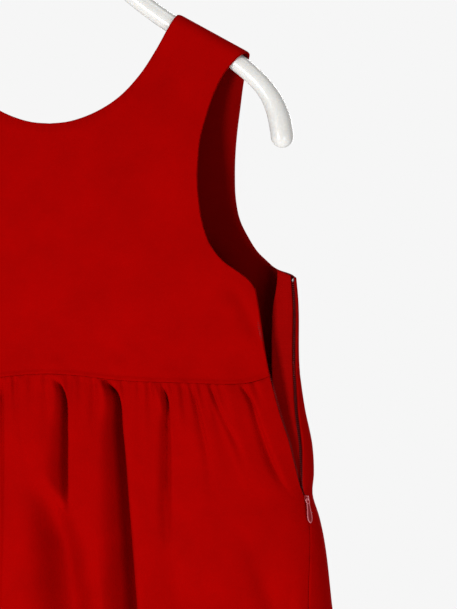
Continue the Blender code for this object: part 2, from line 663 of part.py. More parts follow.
def tube(name, points, radius, around):
    """A round rod along a line of points in the XZ plane, in mm, as a closed mesh in its own frame."""
    curve = bpy.data.curves.new(name, "CURVE")
    curve.dimensions = "3D"
    line = curve.splines.new("POLY")
    line.points.add(len(points) - 1)
    for spot, (x, z) in zip(line.points, points):
        spot.co = (x * MM, 0, z * MM, 1)
    taper = [radius * share for share in ends_rounded(points, radius)]
    for spot, size in zip(line.points, taper):
        spot.radius = size / radius
    curve.bevel_depth = radius * MM
    curve.bevel_resolution = around
    curve.use_fill_caps = True
    rod = bpy.data.objects.new(name, curve)
    CUTTERS.objects.link(rod)
    bpy.context.view_layer.update()
    mesh = bpy.data.meshes.new_from_object(rod.evaluated_get(bpy.context.evaluated_depsgraph_get()))
    bpy.data.objects.remove(rod)
    closed = bmesh.new()
    closed.from_mesh(mesh)
    bmesh.ops.remove_doubles(closed, verts=closed.verts, dist=1e-6)
    closed.transform(Matrix.Scale(1 / MM, 4))
    return closed


def ends_rounded(points, radius):
    """How thick the rod is at each point, as a share: both of its ends are half a ball."""
    points = np.asarray(points, float)
    way = np.concatenate([[0], np.cumsum(np.linalg.norm(np.diff(points, axis=0), axis=1))])
    from_end = np.minimum(way, way[-1] - way) / radius
    return np.sqrt(np.clip(1 - (1 - np.minimum(from_end, 1)) ** 2, 0.06, 1))


def with_round_ends(points, radius, at_start, at_end):
    """The line with extra points near its free ends, where the rod is rounded off."""
    points = [np.array(p, float) for p in points]
    for at_one in (at_start, at_end):
        if at_one:
            way = points[1] - points[0]
            step = way / np.linalg.norm(way) * radius
            points = [points[0] + step * s for s in (0, 0.12, 0.35, 0.65)] + points[1:]
        points = points[::-1]
    return points


def hanger():
    """A moulded hanger: two drooping arms in one rod, with the hook grown from their middle."""
    arm = np.array(HANGER_ARM)
    fine = along(arm, np.linspace(0, 1, 19))[0]
    fine[:, 0] = np.maximum(fine[:, 0], 0)
    line = [(-x, z) for x, z in fine[:0:-1]] + [(x, z) for x, z in fine]
    arms = tube("arms", with_round_ends(line, HANGER_RADIUS, True, True), HANGER_RADIUS, 2)
    middle = HOOK_OPENING_RADIUS + HOOK_RADIUS
    crown = (0.0, -HOOK_OPENING_RADIUS)
    turns = np.radians(np.linspace(200, -48, 15))
    loop = [(crown[0] + middle * math.cos(t), crown[1] + middle * math.sin(t)) for t in turns]
    stem = [(8.0, -44.0), (2.6, -50.5), (0.3, -58.0), (0.0, -66.0), (0.0, -80.0)]
    hook = tube("hook", with_round_ends(loop + stem, HOOK_RADIUS, True, False), HOOK_RADIUS, 1)
    return joined("hanger", [arms, hook], Matrix.Identity(4), white_plastic())


def finish(name, colour, rough, metal=0.0):
    """A Principled material for one of the dress's finishes."""
    found = bpy.data.materials.get(name)
    if found:
        return found
    made = bpy.data.materials.new(name)
    made.use_nodes = True
    shader = made.node_tree.nodes["Principled BSDF"]
    shader.inputs["Base Color"].default_value = colour
    shader.inputs["Roughness"].default_value = rough
    shader.inputs["Metallic"].default_value = metal
    made.diffuse_color = colour
    return made


def cloth():
    return finish("red_cotton_sateen", RED_CLOTH, 0.8)


def tape_cloth():
    return finish("red_polyester_tape", ZIP_RED, 0.7)


def enamelled_metal():
    return finish("red_enamelled_zinc", ENAMELLED_METAL, 0.35, 0.3)


def white_plastic():
    return finish("white_polystyrene", WHITE_PLASTIC, 0.3)


for old in list(bpy.data.objects):
    bpy.data.objects.remove(old)
PARTS = bpy.data.collections.new("party_dress_on_hanger")
CUTTERS = bpy.data.collections.new("cutters")
for group in (PARTS, CUTTERS):
    bpy.context.scene.collection.children.link(group)

bodice("bodice_front", FRONT)
bodice("bodice_back", BACK)
skirt("skirt_front", FRONT)
skirt("skirt_back", BACK)
front_tape()
back_tape()
slider_place, slider_axes = slider_frame()
at_slider = Matrix.Translation(slider_place) @ slider_axes.to_4x4()
slider(at_slider)
pull_tab(at_slider)
hanger()
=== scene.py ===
# %% [markdown]
# # A party dress on a hanger
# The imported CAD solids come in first, as a fixed frame. Everything else is built round them in the
# same place: metres, +Z up, the front faces -Y. The origin is the point in the hook that a rail carries.

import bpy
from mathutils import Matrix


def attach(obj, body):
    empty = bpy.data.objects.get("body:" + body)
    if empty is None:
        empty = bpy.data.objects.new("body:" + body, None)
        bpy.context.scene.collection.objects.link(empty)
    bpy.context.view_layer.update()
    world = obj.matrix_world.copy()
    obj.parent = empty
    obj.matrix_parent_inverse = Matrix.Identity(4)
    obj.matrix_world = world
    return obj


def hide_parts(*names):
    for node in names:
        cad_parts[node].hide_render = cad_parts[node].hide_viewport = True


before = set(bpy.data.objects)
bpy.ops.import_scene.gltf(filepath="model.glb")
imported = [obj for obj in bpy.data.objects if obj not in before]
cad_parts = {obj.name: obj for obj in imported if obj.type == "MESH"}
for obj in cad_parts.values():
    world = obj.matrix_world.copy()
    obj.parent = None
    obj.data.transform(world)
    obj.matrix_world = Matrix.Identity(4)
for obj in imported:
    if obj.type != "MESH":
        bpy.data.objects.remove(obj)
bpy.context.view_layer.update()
print("nodes:", sorted(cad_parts))

# %% Libraries and units
import math

import bmesh
import bpy
import numpy as np
from mathutils import Matrix, Vector

MM = 0.001
FRONT, BACK = -1, 1
LEFT, RIGHT = -1, 1
BODY, TAB_BODY = "dress_on_hanger", "pull_tab"


def placed(name, data):
    """A new object in the scene, at the origin."""
    made = bpy.data.objects.new(name, data)
    bpy.context.scene.collection.objects.link(made)
    return made


# %% [markdown]
# ## Camera
# The photograph is a level close-up, turned a little towards the zip. A long lens 2 m away keeps the
# same gentle perspective. On a tall picture, Blender lays the sensor's width along the height.

# %% Camera
PHOTO_WIDE, PHOTO_HIGH = 457, 609
MM_PER_PIXEL = 0.77
CAMERA_TURN = math.radians(8)
CAMERA_AWAY = 2.0
SENSOR = 36.0
AIM_ACROSS, AIM_HEIGHT = 0.1344, -0.3572

across_view = Vector((math.cos(CAMERA_TURN), math.sin(CAMERA_TURN), 0))
towards_camera = Vector((math.sin(CAMERA_TURN), -math.cos(CAMERA_TURN), 0))
aim = across_view * AIM_ACROSS + Vector((0, 0, AIM_HEIGHT))
camera = placed("camera", bpy.data.cameras.new("camera"))
camera.location = aim + towards_camera * CAMERA_AWAY
camera.rotation_euler = (-towards_camera).to_track_quat("-Z", "Y").to_euler()
camera.data.sensor_width = SENSOR
camera.data.lens = SENSOR * CAMERA_AWAY / (PHOTO_HIGH * MM_PER_PIXEL * MM)
camera.data.dof.use_dof = False
bpy.context.scene.camera = camera
bpy.context.scene.view_settings.view_transform = "Standard"
print("lens", round(camera.data.lens, 1), "mm for a frame of", PHOTO_WIDE, "x", PHOTO_HIGH)

# %% [markdown]
# ## Colours and nodes
# Colours are written as sRGB hex, as a picture editor shows them, and one function turns them to the
# linear numbers that the sockets take. Another clears a tree, and a third adds a node with its
# settings and its links.

# %% Helpers for every tree


def linear(hex_colour):
    """An sRGB hex colour as linear red, green, blue and alpha."""
    parts = [int(hex_colour[k:k + 2], 16) / 255 for k in (1, 3, 5)]
    return tuple(p / 12.92 if p <= 0.04045 else ((p + 0.055) / 1.055) ** 2.4 for p in parts) + (1.0,)


def emptied(block):
    """The node tree of a material or a world, cleared."""
    block.use_nodes = True
    block.node_tree.nodes.clear()
    return block.node_tree


def add(tree, kind, inputs=(), **settings):
    """A new node. inputs holds its sockets by name or number, each a value or another node's output."""
    made = tree.nodes.new(kind)
    for name, value in settings.items():
        setattr(made, name, value)
    for name, value in dict(inputs).items():
        if isinstance(value, bpy.types.NodeSocket):
            tree.links.new(value, made.inputs[name])
        else:
            made.inputs[name].default_value = value
    return made


print("cloth red in linear light:", [round(c, 3) for c in linear("#A50300")])

# %% [markdown]
# ## Studio
# The real picture has an even pale ground and soft light from the left and the front, so slopes that
# face right fall into shade. The key lamp does that, and the fill lamp opens the shade. One lamp above
# lights the shoulders, and one behind lights the back. The pale world is what the camera sees, but it
# lights little. The floor lies well below the hem and glows faintly, so that it stays pale.

# %% Light and floor
PAPER, FLOOR_PAINT = "#F6F6F6", "#F4F4F4"
FLOOR_Z, FLOOR_RADIUS, FLOOR_GLOW = -1.9, 2.2, 0.4
WORLD_SEEN, WORLD_LIGHT = 1.0, 0.15
LAMPS = {  # place in metres, watts, side of the square in metres
    "key_lamp": ((-0.76, -1.48, -0.66), 19.0, 0.4),
    "fill_lamp": ((1.00, -1.15, -0.95), 7.2, 0.6),
    "top_lamp": ((0.50, -0.25, 1.00), 5.0, 0.7),
    "back_lamp": ((0.3, 2.2, 0.3), 30.0, 1.6),
}
for name, (place, watts, size) in LAMPS.items():
    light = bpy.data.lights.new(name, "AREA")
    light.energy, light.size = watts, size
    holder = placed(name, light)
    holder.location = place
    holder.rotation_euler = (aim - Vector(place)).to_track_quat("-Z", "Y").to_euler()

world = bpy.data.worlds.new("pale_studio")
bpy.context.scene.world = world
sky = emptied(world)
seen, lighting = (add(sky, "ShaderNodeBackground", {"Color": linear(PAPER), "Strength": strength})
                  for strength in (WORLD_SEEN, WORLD_LIGHT))
ray = add(sky, "ShaderNodeLightPath").outputs["Is Camera Ray"]
mixed = add(sky, "ShaderNodeMixShader", {0: ray, 1: lighting.outputs[0], 2: seen.outputs[0]})
add(sky, "ShaderNodeOutputWorld", {"Surface": mixed.outputs[0]})

floor_mesh = bpy.data.meshes.new("floor")
round_floor = bmesh.new()
bmesh.ops.create_circle(round_floor, cap_ends=True, segments=96, radius=FLOOR_RADIUS)
bmesh.ops.translate(round_floor, verts=round_floor.verts, vec=(0, 0, FLOOR_Z))
round_floor.to_mesh(floor_mesh)
round_floor.free()
floor = placed("floor", floor_mesh)
paint = bpy.data.materials.new("pale_floor_paint")
paint.use_nodes = True
sockets = paint.node_tree.nodes["Principled BSDF"].inputs
for socket, value in (("Base Color", linear(FLOOR_PAINT)), ("Roughness", 0.8),
                      ("Emission Color", linear(PAPER)), ("Emission Strength", FLOOR_GLOW)):
    sockets[socket].default_value = value
floor_mesh.materials.append(paint)

# %% [markdown]
# ## The dress's measurements
# These are the tables that the solids were cut from, in millimetres, so that each cloth shell lies on
# its solid: how wide and deep the dress is at each drop below the shoulder's high point, where the
# zip's two edges and the waist seam run, and the cut edges of the bodice. The seams' gap is narrower
# than the solids' 0.3 mm, and the middle lines only steer the grid across a panel.

# %% Sizes
HIGH_POINT_Z = -135.3
WAIST_DROP, HEM_DROP = 277.0, 700.0
CLOTH = 1.6
SEAM_GAP = 0.1
HANGER_RADIUS = 7.0
HOOK_RADIUS = 4.0
HOOK_OPENING_RADIUS = 18.0
FRONT_TAPE_WIDTH = 12.0
TAPE_THICKNESS = 1.0
FRONT_TAPE_START, TAPE_END = 209.0, 372.0
ROLL_RADIUS = 9.2
ROLLED_OUT = ROLL_RADIUS * (math.pi / 2 - 1)
NECK_POINT = np.array([97.5, 0.0])
SHOULDER_TIP = np.array([151.8, 30.2])
STRAP_ENDS_BELOW, BODY_STARTS_BELOW = 15.0, 95.0
SHOULDER_RUN = (SHOULDER_TIP - NECK_POINT) / np.linalg.norm(SHOULDER_TIP - NECK_POINT)
DOWN_THE_STRAP = np.array([-SHOULDER_RUN[1], SHOULDER_RUN[0]])

# %% Level sections, zip edges and waist seam
SECTIONS = np.array([
    [-10, 179, 187.4, 8.5], [84, 179, 187.4, 17], [196, 179, 187.4, 24.4], [216, 179.2, 189.2, 25.5],
    [277, 181, 190.8, 28.5], [300, 184, 194.2, 33], [330, 188.5, 200.2, 36.5], [350, 192, 201.2, 38.5],
    [366, 194.5, 200.2, 40], [382, 197, 205, 41.5], [457, 208, 215.4, 49], [700, 246, 248, 72],
])
ZIP_EDGES = np.array([
    [190, 48.6, 101], [240, 52.2, 102.6], [277, 55.8, 104.4], [300, 58.1, 108],
    [320, 60.2, 110.6], [345, 63.9, 111.2], [357, 67.6, 109.6], [364, 71.4, 107.4],
    [372, 74, 106], [380, 71.2, 108.8], [395, 68.4, 111.6], [700, 68.5, 111.5],
])
FRONT_WAIST = np.array([
    [-90, 274], [-60, 276.5], [-40, 281.2], [-23, 280.2], [-16, 279],
    [-8, 276], [0, 274.5], [8, 276], [16, 279], [23, 280.2],
    [32, 281], [40, 281.8], [46, 281], [51, 278.6], [56, 275.5],
])
BACK_WAIST = np.array([
    [-90, 274], [-60, 276.5], [-30, 278.5], [0, 277],
    [40, 278.5], [64, 276.5], [90, 274.5], [120, 275],
])
print("waist seam at the centre front:", FRONT_WAIST[6, 1], "mm below the high point")

# %% Cut edges of the bodice, from the shoulder seam on: x, drop
FRONT_NECKLINE = [(91, 10), (80.6, 28.5), (68.6, 47), (51, 65.5), (31, 77), (13, 82.4), (0, 83.5)]
BACK_NECKLINE = [(91, 11), (80.6, 31), (69, 50), (52, 69), (32, 81), (13.5, 86.8), (0, 88)]
FRONT_ARMHOLE = [(141.4, 37.2), (133, 47.6), (126.6, 60.6), (120.4, 79.1), (116.1, 97.6), (114.9, 114),
                 (114.7, 130.2), (116.3, 146), (119, 161), (124, 175), (133.5, 188), (146.5, 197.4)]
BACK_ARMHOLE = [(148.6, 40), (146.4, 52), (143.6, 72), (141, 90), (139.2, 108), (138.6, 124),
                (139.2, 141), (142.4, 157), (148.8, 170), (156, 181), (164.5, 189.2)]
MIDDLE_ROWS = [4, 7, 11, 14, 17, 21, 27, 33]
FRONT_MIDDLE = [(99, 66), (92, 128), (98, 193), (100, 214), (92, 236), (52, 244), (0, 236)]
BACK_MIDDLE = [(110, 68), (104, 130), (105, 195), (104, 219), (94, 240), (52, 248), (0, 240)]
BACK_UNDERARM = [(169, 193), (174.5, 195.8), (180.5, 197.6), (184.6, 199.2), (187, 200.9)]
UNDERARM = {(FRONT, RIGHT): 207, (BACK, RIGHT): 201.8, (FRONT, LEFT): 203, (BACK, LEFT): 203.0}

# %% [markdown]
# ## Folds
# Each row is one valley: x and drop where it starts, passes and ends, how wide its
# left and right slopes are, and how deep it is. The large ones are in the solids too. The gathers are
# the short creases that the waist seam pulls in. They are uneven, and the side that the photograph
# hides has as many as the side that it shows.

# %% Large folds
FOLDS = {
    FRONT: [
        (6, 279, 12, 325, 13, 376, 12, 6, 11),
        (-12, 356, 3, 425, 22, 740, 15, 10, 12),
        (44, 279, 55, 355, 90, 740, 12, 6, 14),
        (87, 281, 88, 330, 92, 420, 9, 6, 7),
        (104, 400, 112, 490, 134, 740, 15, 13, 9),
        (112, 284, 121, 340, 131, 400, 8, 6, 3),
        (123, 285, 138, 322, 152, 356, 7, 6, 4),
        (141, 282, 163, 325, 186, 368, 9, 7, 7),
        (143, 384, 166, 430, 192, 740, 20, 16, 9),
        (-34, 280, -37, 330, -40, 385, 8, 7, 5),
        (-58, 280, -64, 360, -82, 740, 7, 13, 13),
        (-98, 281, -103, 340, -110, 430, 7, 9, 7),
        (-118, 330, -126, 440, -148, 740, 13, 15, 11),
        (-136, 282, -148, 330, -162, 390, 8, 8, 5),
        (-168, 350, -180, 460, -206, 740, 13, 12, 8),
    ],
    BACK: [
        (-4, 280, -8, 350, -18, 740, 7, 12, 12),
        (38, 280, 44, 335, 50, 410, 8, 9, 7),
        (72, 280, 80, 370, 104, 740, 13, 7, 13),
        (118, 281, 126, 340, 138, 430, 8, 7, 6),
        (134, 345, 146, 450, 176, 740, 14, 14, 11),
        (30, 400, 36, 500, 46, 740, 15, 13, 9),
        (-52, 280, -58, 340, -66, 420, 9, 7, 7),
        (-86, 280, -96, 380, -118, 740, 7, 13, 13),
        (-128, 281, -138, 335, -150, 400, 7, 8, 6),
        (-150, 360, -164, 460, -190, 740, 14, 13, 9),
    ],
}
# The folds' cores: narrow, with a steep right slope that overhangs a little. Each has its path of
# (x, drop), how wide its left and right slopes are, and how deep it is
CORES = {
    FRONT: [
        ([(6.5, 279), (10.5, 289), (12.5, 317), (12.5, 342), (13.5, 366), (15, 402)], 6.4, 3.2, 19.5),
        ([(-4, 350), (4, 372), (12, 403), (18, 441), (33, 560), (51, 740)], 12, 12, 27),
        ([(44, 279), (49.5, 290), (52.5, 317), (55, 345), (57, 372), (59.5, 403), (62.5, 441),
          (75, 560), (91, 740)], 6.6, 4.8, 26),
        ([(89, 281), (91.5, 295), (92.5, 318), (93, 345), (94, 390), (96, 430)], 3.8, 2.6, 8),
        ([(93, 375), (97, 403), (104, 441), (122, 560), (136, 740)], 8, 7, 3.5),
        ([(110, 283), (115, 298), (120, 317), (125, 340), (128, 380)], 3.4, 2.2, 2.6),
        ([(124, 283), (131, 298), (138, 313), (147, 329), (154, 345)], 4, 2.6, 2.4),
        ([(148, 283), (155, 294), (161, 310), (167, 327), (172, 340), (178, 353), (185, 366)],
         4.2, 2.8, 4.4),
        ([(148, 380), (158, 403), (174, 441), (198, 520), (218, 620)], 8, 14, 3.6),
        ([(-36, 281), (-35, 330), (-35, 452), (-40, 620)], 5, 2.6, 4.5),
        ([(-61, 281), (-66, 340), (-73, 460), (-84, 740)], 4, 8.5, 11),
        ([(-97, 281), (-102, 320), (-107, 370), (-111, 430)], 3, 5, 6),
        ([(-121, 345), (-126, 420), (-134, 520), (-148, 740)], 8, 9, 7),
        ([(-138, 283), (-147, 310), (-156, 345), (-164, 390)], 4.5, 3.5, 5),
        ([(-170, 370), (-180, 460), (-192, 560), (-206, 740)], 7.5, 7, 5),
    ],
    BACK: [
        ([(-4, 281), (-6, 320), (-10, 400), (-18, 740)], 3.4, 8, 11),
        ([(39, 281), (43, 320), (48, 365), (52, 420)], 5.5, 3, 6),
        ([(73, 281), (77, 320), (86, 440), (104, 740)], 8.5, 3.4, 12),
        ([(119, 283), (125, 315), (133, 370), (140, 430)], 5, 3, 5),
        ([(138, 366), (148, 450), (160, 560), (176, 740)], 9, 7, 7),
        ([(32, 420), (36, 500), (42, 600), (48, 740)], 9, 6, 5.5),
        ([(-53, 281), (-57, 320), (-62, 370), (-68, 425)], 3, 5, 5.5),
        ([(-88, 281), (-93, 330), (-102, 460), (-118, 740)], 3.6, 8.5, 11.5),
        ([(-130, 283), (-138, 320), (-146, 365), (-152, 410)], 3.4, 5, 5),
        ([(-154, 380), (-164, 460), (-176, 580), (-190, 740)], 7, 9, 6.5),
    ],
}
BROAD_SHARE = 0.15
OVERHANG = 0.36
# A fold that starts above this drop starts at the waist seam, and fades in over a shorter way
FROM_THE_SEAM = 300
FOLD_FADE, LOW_FOLD_FADE, DENT_FADE = 26.0, 60, 18
CORE_FADE, LOW_CORE_FADE, CORE_POINT = 13, 55, 36
FOLD_WIDENS, WIDENS_FROM, WIDENS_OVER = 1.1, 216.0, 700.0
FOLDS_CLEAR_OF_SEAM = 16.0

# %% Creases at the waist seam: x, how far it leans, how long, how wide, how deep
CREASES = {
    FRONT: [
        (-36, -1, 34, 2, 1.5), (-30, 0, 22, 1.8, 1.1), (-25, 1, 30, 2.2, 1.5), (-12, 0, 18, 2, 0.8),
        (-1, 3, 40, 2.6, 1.6), (17, 1, 24, 2.2, 1), (26, 2, 34, 2.4, 1.5), (31, 1, 20, 1.8, 0.9),
        (36, 2, 44, 2.4, 1.6), (53, 2, 26, 2, 1), (59, 3, 30, 2.4, 1.3), (65, 1, 20, 1.8, 0.9),
        (71, 2, 38, 2.2, 1.4), (79, 2, 36, 2.2, 1.5), (96, 4, 32, 2.2, 1.3), (104, 5, 40, 2.2, 1.4),
        (111, 6, 30, 2, 1.2), (117, 6, 24, 1.8, 1), (126, 10, 44, 2.4, 1.6), (132, 9, 30, 2, 1.2),
        (150, 8, 22, 2.2, 1.2), (158, 6, 16, 2, 0.8), (-47, -2, 30, 2.2, 1.4), (-53, -1, 20, 1.8, 1),
        (-68, -2, 36, 2.4, 1.5), (-74, -3, 24, 2, 1.1), (-83, -3, 40, 2.4, 1.5), (-90, -4, 22, 1.8, 1),
        (-107, -4, 34, 2.2, 1.4), (-114, -5, 26, 2, 1.1), (-122, -7, 38, 2.4, 1.5),
        (-129, -6, 22, 1.8, 1), (-145, -8, 30, 2.2, 1.3), (-153, -7, 24, 2, 1), (-162, -6, 18, 2, 0.8),
    ],
    BACK: [
        (-160, -6, 20, 2, 0.8), (-152, -7, 30, 2.2, 1.2), (-143, -8, 36, 2.2, 1.4),
        (-119, -5, 28, 2, 1.1), (-110, -5, 38, 2.4, 1.5), (-101, -4, 22, 1.8, 0.9),
        (-94, -3, 34, 2.4, 1.4), (-76, -3, 30, 2.2, 1.3), (-68, -2, 42, 2.4, 1.6),
        (-61, -2, 20, 1.8, 0.9), (-43, -1, 34, 2.4, 1.4), (-35, -1, 26, 2, 1.1), (-27, 0, 38, 2.2, 1.5),
        (-18, 0, 20, 1.8, 0.9), (-11, 0, 32, 2.2, 1.3), (8, 1, 40, 2.4, 1.5), (15, 0, 22, 1.8, 1),
        (23, 1, 34, 2.2, 1.4), (31, 1, 26, 2, 1), (47, 2, 38, 2.4, 1.5), (55, 1, 24, 1.8, 1),
        (63, 2, 34, 2.2, 1.4), (81, 3, 30, 2, 1.2), (89, 3, 42, 2.4, 1.5), (97, 3, 22, 1.8, 0.9),
        (105, 4, 36, 2.2, 1.4), (112, 4, 24, 2, 1), (127, 6, 38, 2.4, 1.5), (135, 6, 26, 2, 1.1),
        (144, 7, 32, 2.2, 1.3), (153, 6, 20, 2, 0.9), (163, 5, 16, 2, 0.7),
    ],
}
# Soft dents in the bodice, as valleys, and the bumps over the deep folds: x, drop, reach, height
DENTS = {
    FRONT: [(140, 204, 156, 235, 167, 262, 7, 6, 2.2), (96, 52, 108, 70, 112, 92, 8, 8, 0.7),
            (-140, 206, -152, 236, -160, 264, 6, 8, 2.0), (-100, 50, -110, 72, -113, 90, 8, 8, 0.7)],
    BACK: [(138, 200, 150, 232, 160, 262, 8, 7, 1.6), (-136, 202, -148, 230, -158, 262, 7, 8, 1.8),
           (60, 110, 74, 160, 96, 215, 16, 14, 1.2), (-30, 120, -44, 170, -66, 220, 16, 14, 1.2)],
}
BUMPS = {
    FRONT: [(4.6, 267, 7, 1.5), (52, 267, 7.5, 1.7), (93, 274, 6, 1), (138, 275, 7, 0.7),
            (-57, 269, 8, 1.4), (-97, 272, 7, 1), (-135, 272, 7, 0.8)],
    BACK: [(-3, 270, 9, 1.1), (71, 272, 9, 1.1), (117, 272, 8, 0.8), (-51, 271, 8, 0.9),
           (-85, 272, 9, 1.1)],
}
print(sum(len(rows) for rows in CREASES.values()), "creases and",
      sum(len(rows) for rows in FOLDS.values()), "large folds")

# %% [markdown]
# ## The dress's surface
# A dressmaker's block is a surface read by two numbers: how far round the body, and how far down. The
# functions here give the outer face at any such place, so a shell of any fineness can be laid on it.

# %% Curves and sections


def smooth(x, xs, ys):
    """A smooth curve through the points (xs, ys), read at x."""
    xs = np.asarray(xs, float)
    ys = np.asarray(ys, float)
    slopes = np.gradient(ys, xs)
    x = np.clip(x, xs[0], xs[-1])
    i = np.clip(np.searchsorted(xs, x, side="right") - 1, 0, len(xs) - 2)
    step = xs[i + 1] - xs[i]
    t = (x - xs[i]) / step
    held = ys[i] * (1 + 2 * t) * (1 - t) ** 2 + ys[i + 1] * t * t * (3 - 2 * t)
    bent = slopes[i] * t * (1 - t) ** 2 - slopes[i + 1] * t * t * (1 - t)
    return held + step * bent


def way_along(points):
    """How far along a line each of its points lies."""
    return np.concatenate([[0], np.cumsum(np.linalg.norm(np.diff(points, axis=0), axis=1))])


def eased(x, low, high):
    """0 below low, 1 above high, and a smooth step between."""
    t = np.clip((x - low) / (high - low), 0.0, 1.0)
    return t * t * (3 - 2 * t)


def section(angle, drop):
    """Half width and half depth of the level section at this drop, on this side."""
    left, right, deep = (smooth(drop, SECTIONS[:, 0], SECTIONS[:, k]) for k in (1, 2, 3))
    return np.where(angle < 0, left, right), deep


def on_section(angle, drop):
    """The point at this angle on |x/wide|^4 + |y/deep|^2 = 1, and the outward direction there."""
    wide, deep = section(angle, drop)
    s, c = np.sin(angle), np.cos(angle)
    reach = np.sqrt(2 / (c**2 + np.sqrt(c**4 + 4 * s**4)))
    out_x, out_y = 4 * (reach * s) ** 3 / wide, 2 * reach * c / deep
    size = np.hypot(out_x, out_y)
    return wide * reach * s, deep * reach * c, out_x / size, out_y / size


def angle_at(x, drop):
    """The angle of the point of the front or back that lies x from the centre line."""
    wide, _ = section(np.asarray(x, float), drop)
    part = np.clip(x / wide, -1, 1)
    return np.arctan2(part, np.sqrt(1 - part**4))


# %% The outer face, rolled over the hanger at the shoulder
SHOULDER_LIFT = 0.3


def body(angle, drop, side, pushed=0.0):
    """The dress's outer face at an angle and a drop, in mm, pushed out by so much. The shoulder seam's
    turnings lift its ridge."""
    x, y, out_x, out_y = on_section(angle, drop)
    x = x + pushed * out_x
    y = y + pushed * out_y
    start = NECK_POINT - ROLLED_OUT * DOWN_THE_STRAP
    below = (np.abs(x) - start[0]) * DOWN_THE_STRAP[0] + (drop - start[1]) * DOWN_THE_STRAP[1]
    turn = np.minimum(below / ROLL_RADIUS, math.pi / 2)
    strap = 1 - eased(below, STRAP_ENDS_BELOW, BODY_STARTS_BELOW)
    y = strap * (ROLL_RADIUS * np.sin(turn) + pushed) + (1 - strap) * y
    rolled = ROLL_RADIUS * (1 - np.cos(turn)) + ROLLED_OUT - ROLL_RADIUS * turn
    rolled = np.where(turn < math.pi / 2, rolled, 0.0) - SHOULDER_LIFT * np.cos(turn)
    x = x + np.sign(x) * DOWN_THE_STRAP[0] * rolled
    z = HIGH_POINT_Z - drop - DOWN_THE_STRAP[1] * rolled
    return np.stack(np.broadcast_arrays(x, side * y, z), axis=-1)


ANGLE_STEPS, GATHER_STEPS = (0.002, 0.2), (0.02, 0.04)


def outward(surface, a, b, side, steps=ANGLE_STEPS):
    """The unit direction out of a surface given by two coordinates, the first left to right, the
    second down. It is read at a small step to each side."""
    step_a, step_b = steps
    along_a = surface(a + step_a, b) - surface(a - step_a, b)
    along_b = surface(a, b + step_b) - surface(a, b - step_b)
    out = side * np.cross(along_a, along_b)
    return out / np.linalg.norm(out, axis=-1, keepdims=True)


def plain_cloth(angle, drop, side):
    """The outer face without folds, and the way out of it."""

    def face(a, b):
        return body(a, b, side)

    return face(angle, drop), outward(face, angle, drop, side)


def mm_per_radian(angle, drop, side):
    """How much of the plain outer face one radian covers here."""
    ends = body(angle + 0.01, drop, side) - body(angle - 0.01, drop, side)
    return np.linalg.norm(ends, axis=-1) / 0.02


def levelled(out):
    """The outward directions without their rise, so that a cut edge is level through the cloth."""
    out = out * np.array([1.0, 1.0, 0.0])
    return out / np.linalg.norm(out, axis=-1, keepdims=True)


# %% Where the seams run
FINE = 6
ROLL_STEPS, ARMHOLE_STEPS, UNDERARM_STEPS = 4 * FINE, 17 * FINE, 3 * FINE
SIDE_STEPS, WAIST_STEPS = 4 * FINE, 12 * FINE
ACROSS_INNER, ACROSS_OUTER = 3 * FINE, 5 * FINE
COIL_SHOWS = 1.9


def zip_edge(drop, side):
    """The angle of the front's or the back's edge at the zip."""
    return np.radians(smooth(drop, ZIP_EDGES[:, 0], ZIP_EDGES[:, 1 if side == FRONT else 2]))


def trimmed(angle, drop, side, by=SEAM_GAP / 2):
    """An edge's angle, moved in by so much, which is half of the gap at a sewn seam."""
    ahead = body(angle + 0.001, drop, side) - body(angle, drop, side)
    return angle - np.sign(angle) * by * 0.001 / np.linalg.norm(ahead, axis=-1)


def side_edge(drop, side, hand):
    """The angle of the panel's side edge: the closed seam on the left, the zip on the right."""
    if hand == RIGHT:
        shows = COIL_SHOWS * (1 - eased(drop, 330.0, 360.0)) if side == BACK else 0.0
        return trimmed(zip_edge(drop, side), drop, side, SEAM_GAP / 2 + shows)
    return trimmed(np.full_like(drop, -math.pi / 2), drop, side)


def waist_ends(side):
    """The angles of the panel's two side edges at the waist seam's level."""
    return [side_edge(np.array([WAIST_DROP]), side, hand)[0] for hand in (LEFT, RIGHT)]


def waist(angle, side):
    """The drop of the waist seam at this angle."""
    line = FRONT_WAIST if side == FRONT else BACK_WAIST
    return smooth(np.degrees(angle), line[:, 0], line[:, 1])


# %% [markdown]
# ## A bodice panel
# The solid's grid has few rows, from the neckline out to the armhole, the side and the waist. The same
# rows with six times as many steps give cloth that bends smoothly.

# %% Grid of half a bodice panel
CORNER_RADIUS = 5.0
UNDERARM_ROUNDING = 7.0
ARMHOLE_SHARE = 0.6
BUNCHED = 1.25


def along(points, lengths):
    """Points at these shares of the way along a smooth curve through the points given."""
    points = np.asarray(points, float)
    way = way_along(points)
    at = np.asarray(lengths) * way[-1]
    return np.stack([smooth(at, way, points[:, k]) for k in (0, 1)], axis=-1), way[-1]


def from_the_shoulder(start, points, rows, inward):
    """A cut edge in (x, drop), with its first steps on the strap's roll and its corner rounded off."""
    start = np.asarray(start) - ROLLED_OUT * DOWN_THE_STRAP
    points = [start] + [np.array(p) for p in points]
    _, length = along(points, [0])
    roll = ROLL_RADIUS * math.pi / 2
    first = SEAM_GAP / 2 + (roll - SEAM_GAP / 2) * np.arange(ROLL_STEPS) / ROLL_STEPS
    gone = np.concatenate([first, roll + (length - roll) * rows])
    near = np.clip(1 - gone / CORNER_RADIUS, 0, 1)
    corner = CORNER_RADIUS * (1 - np.sqrt(1 - near**2))
    return along(points, gone / length)[0] + inward * corner[:, None] * SHOULDER_RUN


def in_angles(points, hand):
    """Points in (x, drop) turned to (angle, drop), on one hand."""
    return np.stack([angle_at(hand * points[:, 0], points[:, 1]), points[:, 1]], axis=-1)


